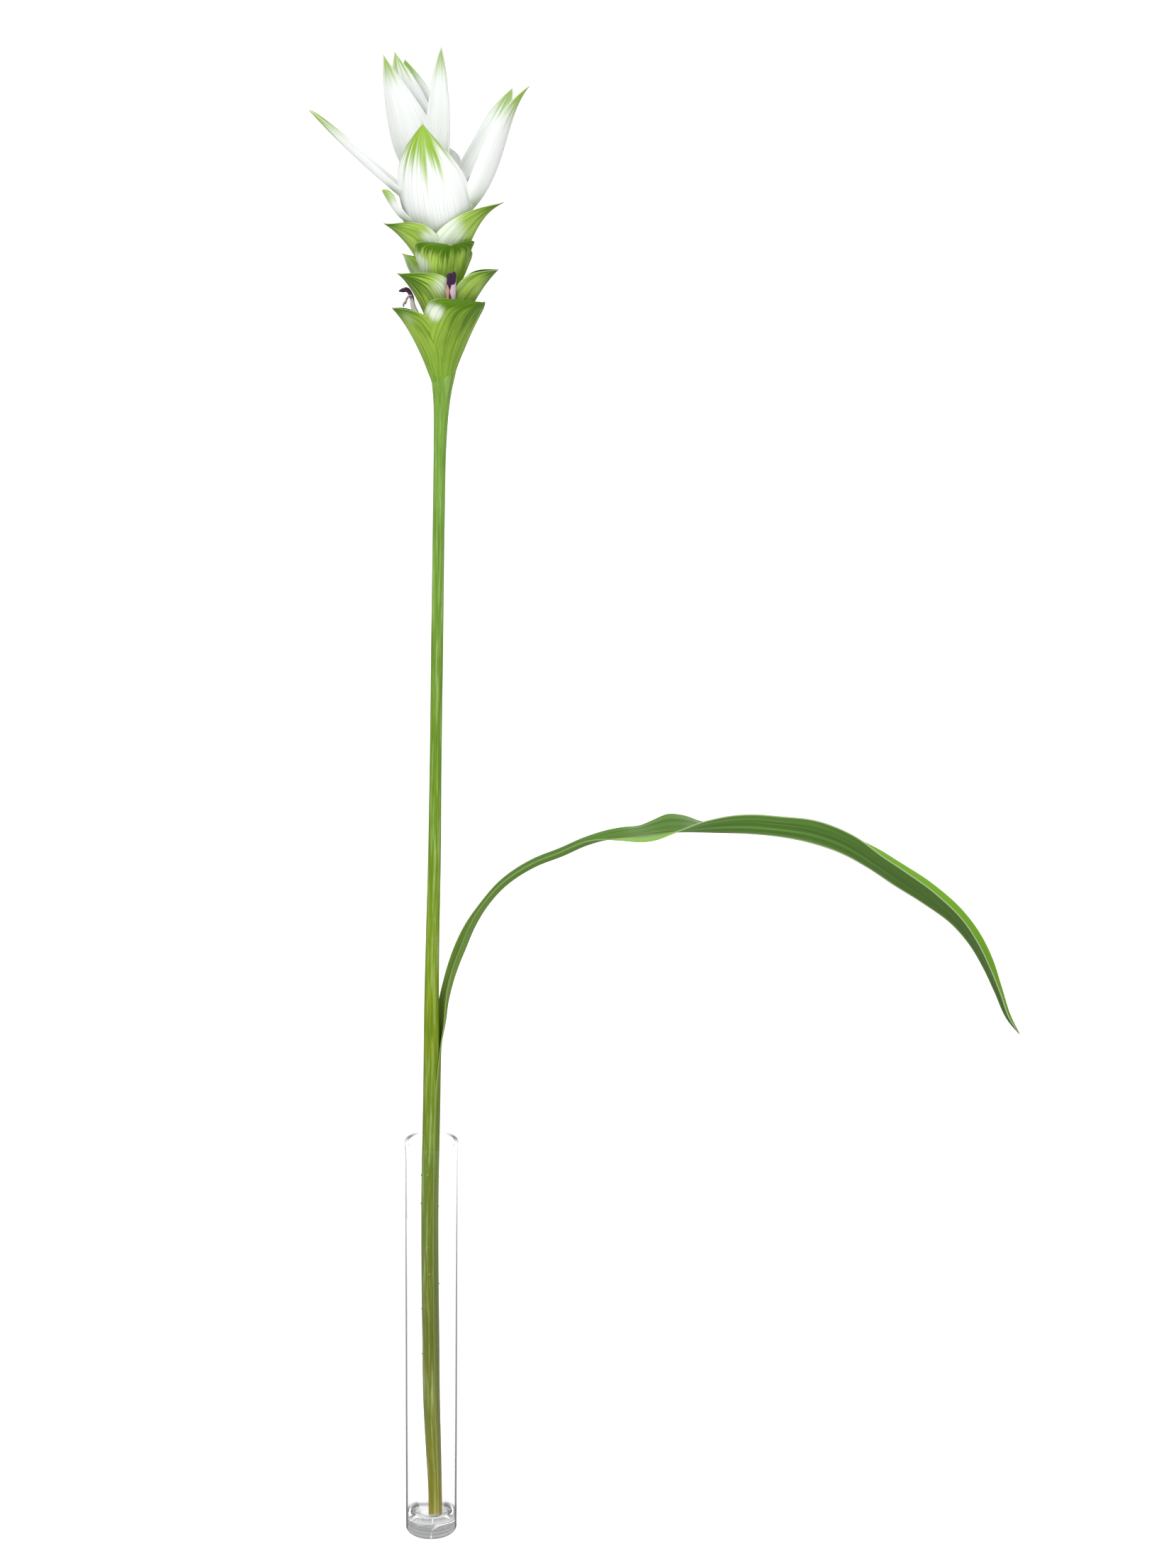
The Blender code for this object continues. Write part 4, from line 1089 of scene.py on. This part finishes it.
def drop_material():
    """Clear water bead, painted near white in its middle as a highlight and darker green towards its edge as
    shade.
    """
    made = Shading("water_bead", 0.5)
    made.give("Transmission Weight", 0.8)
    made.give("IOR", 1.33)
    # Painted highlight in the middle of the bead and painted shade towards its edge, by how squarely it faces
    # the eye.
    around = made.node("ShaderNodeLayerWeight", {"Blend": 0.4})
    colour = made.ramp(around.outputs["Facing"], [
        (0, 250, 253, 250), (0.6, 226, 234, 220), (1, 150, 165, 120),
    ])
    return made.finish(colour, 0.03)


def make_drops(kind):
    """Small beads of water that cling to the stalk inside the vase."""
    angles = full_turn(DROP_SIDES)
    levels = np.radians(np.linspace(-DROP_CAP, DROP_CAP, DROP_ROWS))[:, None]
    level = np.cos(levels)
    height_share = DROP_HEIGHT_SHARE * np.sin(levels)
    ball = joined(level * np.cos(angles), level * np.sin(angles), height_share)
    points = []
    faces = []
    for height, turn_degrees, size in DROPS:
        x, y, radius = smooth_curve(STALK, height)[0]
        outward, _ = directions(turn_degrees)
        on_sheath = abs(turn_degrees - SHEATH_TURN) < SHEATH_REACH
        reach = radius + SHEATH_SKIN * on_sheath
        centre = np.array([x, y, height]) + reach * outward
        first = sum(len(part) for part in points)
        points.append(with_ends(centre + size * ball))
        faces += [tuple(first + corner for corner in face) for face in ring_faces(DROP_ROWS, DROP_SIDES)]
    new_piece("water_beads", np.concatenate(points), faces, kind, {})


def make_head():
    """Green and white bracts, their cores and the two small violet flowers."""
    green = Kind(green_bract_material(), "green_bracts", "green_bract")
    white = Kind(white_bract_material(), "white_bracts", "white_bract")
    violet = petal_material()
    make_core("green_core", GREEN_CORE, green)
    make_core("white_core", WHITE_CORE, white)
    for number, (bract, finish) in enumerate(zip(GREEN_BRACTS, GREEN_FINISH)):
        make_bract(f"green_bract_{number + 1}", bract, finish, number, green)
    for number, (bract, finish) in enumerate(zip(WHITE_BRACTS, WHITE_FINISH)):
        seed = number + WHITE_SEED
        streaks = FRONT_STREAKS if number == 0 else ()
        make_bract(f"white_bract_{number + 1}", bract, finish, seed, white, streaks)
    for node, turn, tube, petals in FLOWERS:
        kind = Kind(violet, node, "petal")
        tube_in_plane(node + "_tube", turn, tube, kind)
        for number, (petal, tone) in enumerate(petals):
            make_petal(f"{node}_petal_{number + 1}", petal, tone, kind)


def make_floor():
    """Plain white floor under the vase that glows for the lens, as a lit studio table does."""
    made = Shading("floor_white", 0.5)
    ray = made.node("ShaderNodeLightPath").outputs
    lighting = made.times(ray["Is Diffuse Ray"], 1 - FLOOR_BOUNCE)
    bounced = made.math("SUBTRACT", ray["Is Glossy Ray"], ray["Is Transmission Ray"])
    mirrored = made.times(made.math("MAXIMUM", bounced, 0.0), 1 - FLOOR_MIRRORED)
    glow = made.math("SUBTRACT", made.math("SUBTRACT", 1.0, lighting), mirrored)
    made.give("Emission Color", (1, 1, 1, 1))
    made.give("Emission Strength", glow)
    half = FLOOR_SIZE / 2
    mesh = bpy.data.meshes.new("floor")
    corners = [(-half, -half, 0), (half, -half, 0), (half, half, 0), (-half, half, 0)]
    mesh.from_pydata(corners, [], [(0, 1, 2, 3)])
    mesh.materials.append(made.finish((*FLOOR_COLOUR, 1), 0.9))
    floor = add_object("floor", mesh)


def make_surroundings():
    """White surroundings, darker at both sides and in front, as flags beside a table are."""
    world = bpy.data.worlds.new("studio")
    world.use_nodes = True
    made = Nodes(world.node_tree)
    x, y, _ = made.place("Generated")
    shades = []
    for direction, flag in ((made.math("ABSOLUTE", x), SIDE_FLAGS), (made.times(y, -1.0), FRONT_FLAG)):
        start, end, rest = flag
        shades.append(made.step(direction, start, end, 1.0, rest))
    seen = made.node("ShaderNodeLightPath").outputs["Is Camera Ray"]
    strength = made.node("ShaderNodeMix", {0: seen, 2: made.times(*shades), 3: 1.0})
    background = made.tree.nodes["Background"]
    made.feed(background.inputs["Strength"], strength.outputs[0])
    made.feed(background.inputs["Color"], (1, 1, 1, 1))
    bpy.context.scene.world = world


def make_lights():
    """Soft key light from the upper left, a weaker fill from the right and one from behind."""
    for name, place, size, power in LIGHTS:
        data = bpy.data.lights.new(name, "AREA")
        data.shape = "SQUARE"
        data.size = size
        data.energy = power
        light = add_object(name, data)
        light.location = place
        direction = Vector(LIGHT_TARGET) - Vector(place)
        light.rotation_euler = direction.to_track_quat("-Z", "Y").to_euler()


def make_camera():
    """Camera at the photograph's place, looking down with a slight roll, and plain screen colours."""
    pitch = math.radians(CAMERA_PITCH)
    roll = math.radians(CAMERA_ROLL)
    forward = Vector((0, math.cos(pitch), -math.sin(pitch)))
    level = Vector((1, 0, 0))
    upright = level.cross(forward)
    right = level * math.cos(roll) + upright * math.sin(roll)
    up = upright * math.cos(roll) - level * math.sin(roll)
    turn = Matrix((right, up, -forward)).transposed()
    data = bpy.data.cameras.new("camera")
    data.lens = CAMERA_LENS
    data.sensor_width = CAMERA_SENSOR
    data.clip_end = CAMERA_REACH
    camera = add_object("camera", data)
    camera.matrix_world = Matrix.Translation(Vector(CAMERA_PLACE) * MM) @ turn.to_4x4()
    bpy.context.scene.camera = camera
    bpy.context.scene.view_settings.view_transform = "Standard"


make_camera()
make_surroundings()
make_lights()
make_floor()
make_vase(Kind(glass_material(), "vase", "glass"))
make_stalk(Kind(stalk_material(), "stalk", "stalk"))
make_drops(Kind(drop_material(), None, "glass"))
make_leaf(Kind(leaf_material(), "leaf", "leaf"))
make_head()
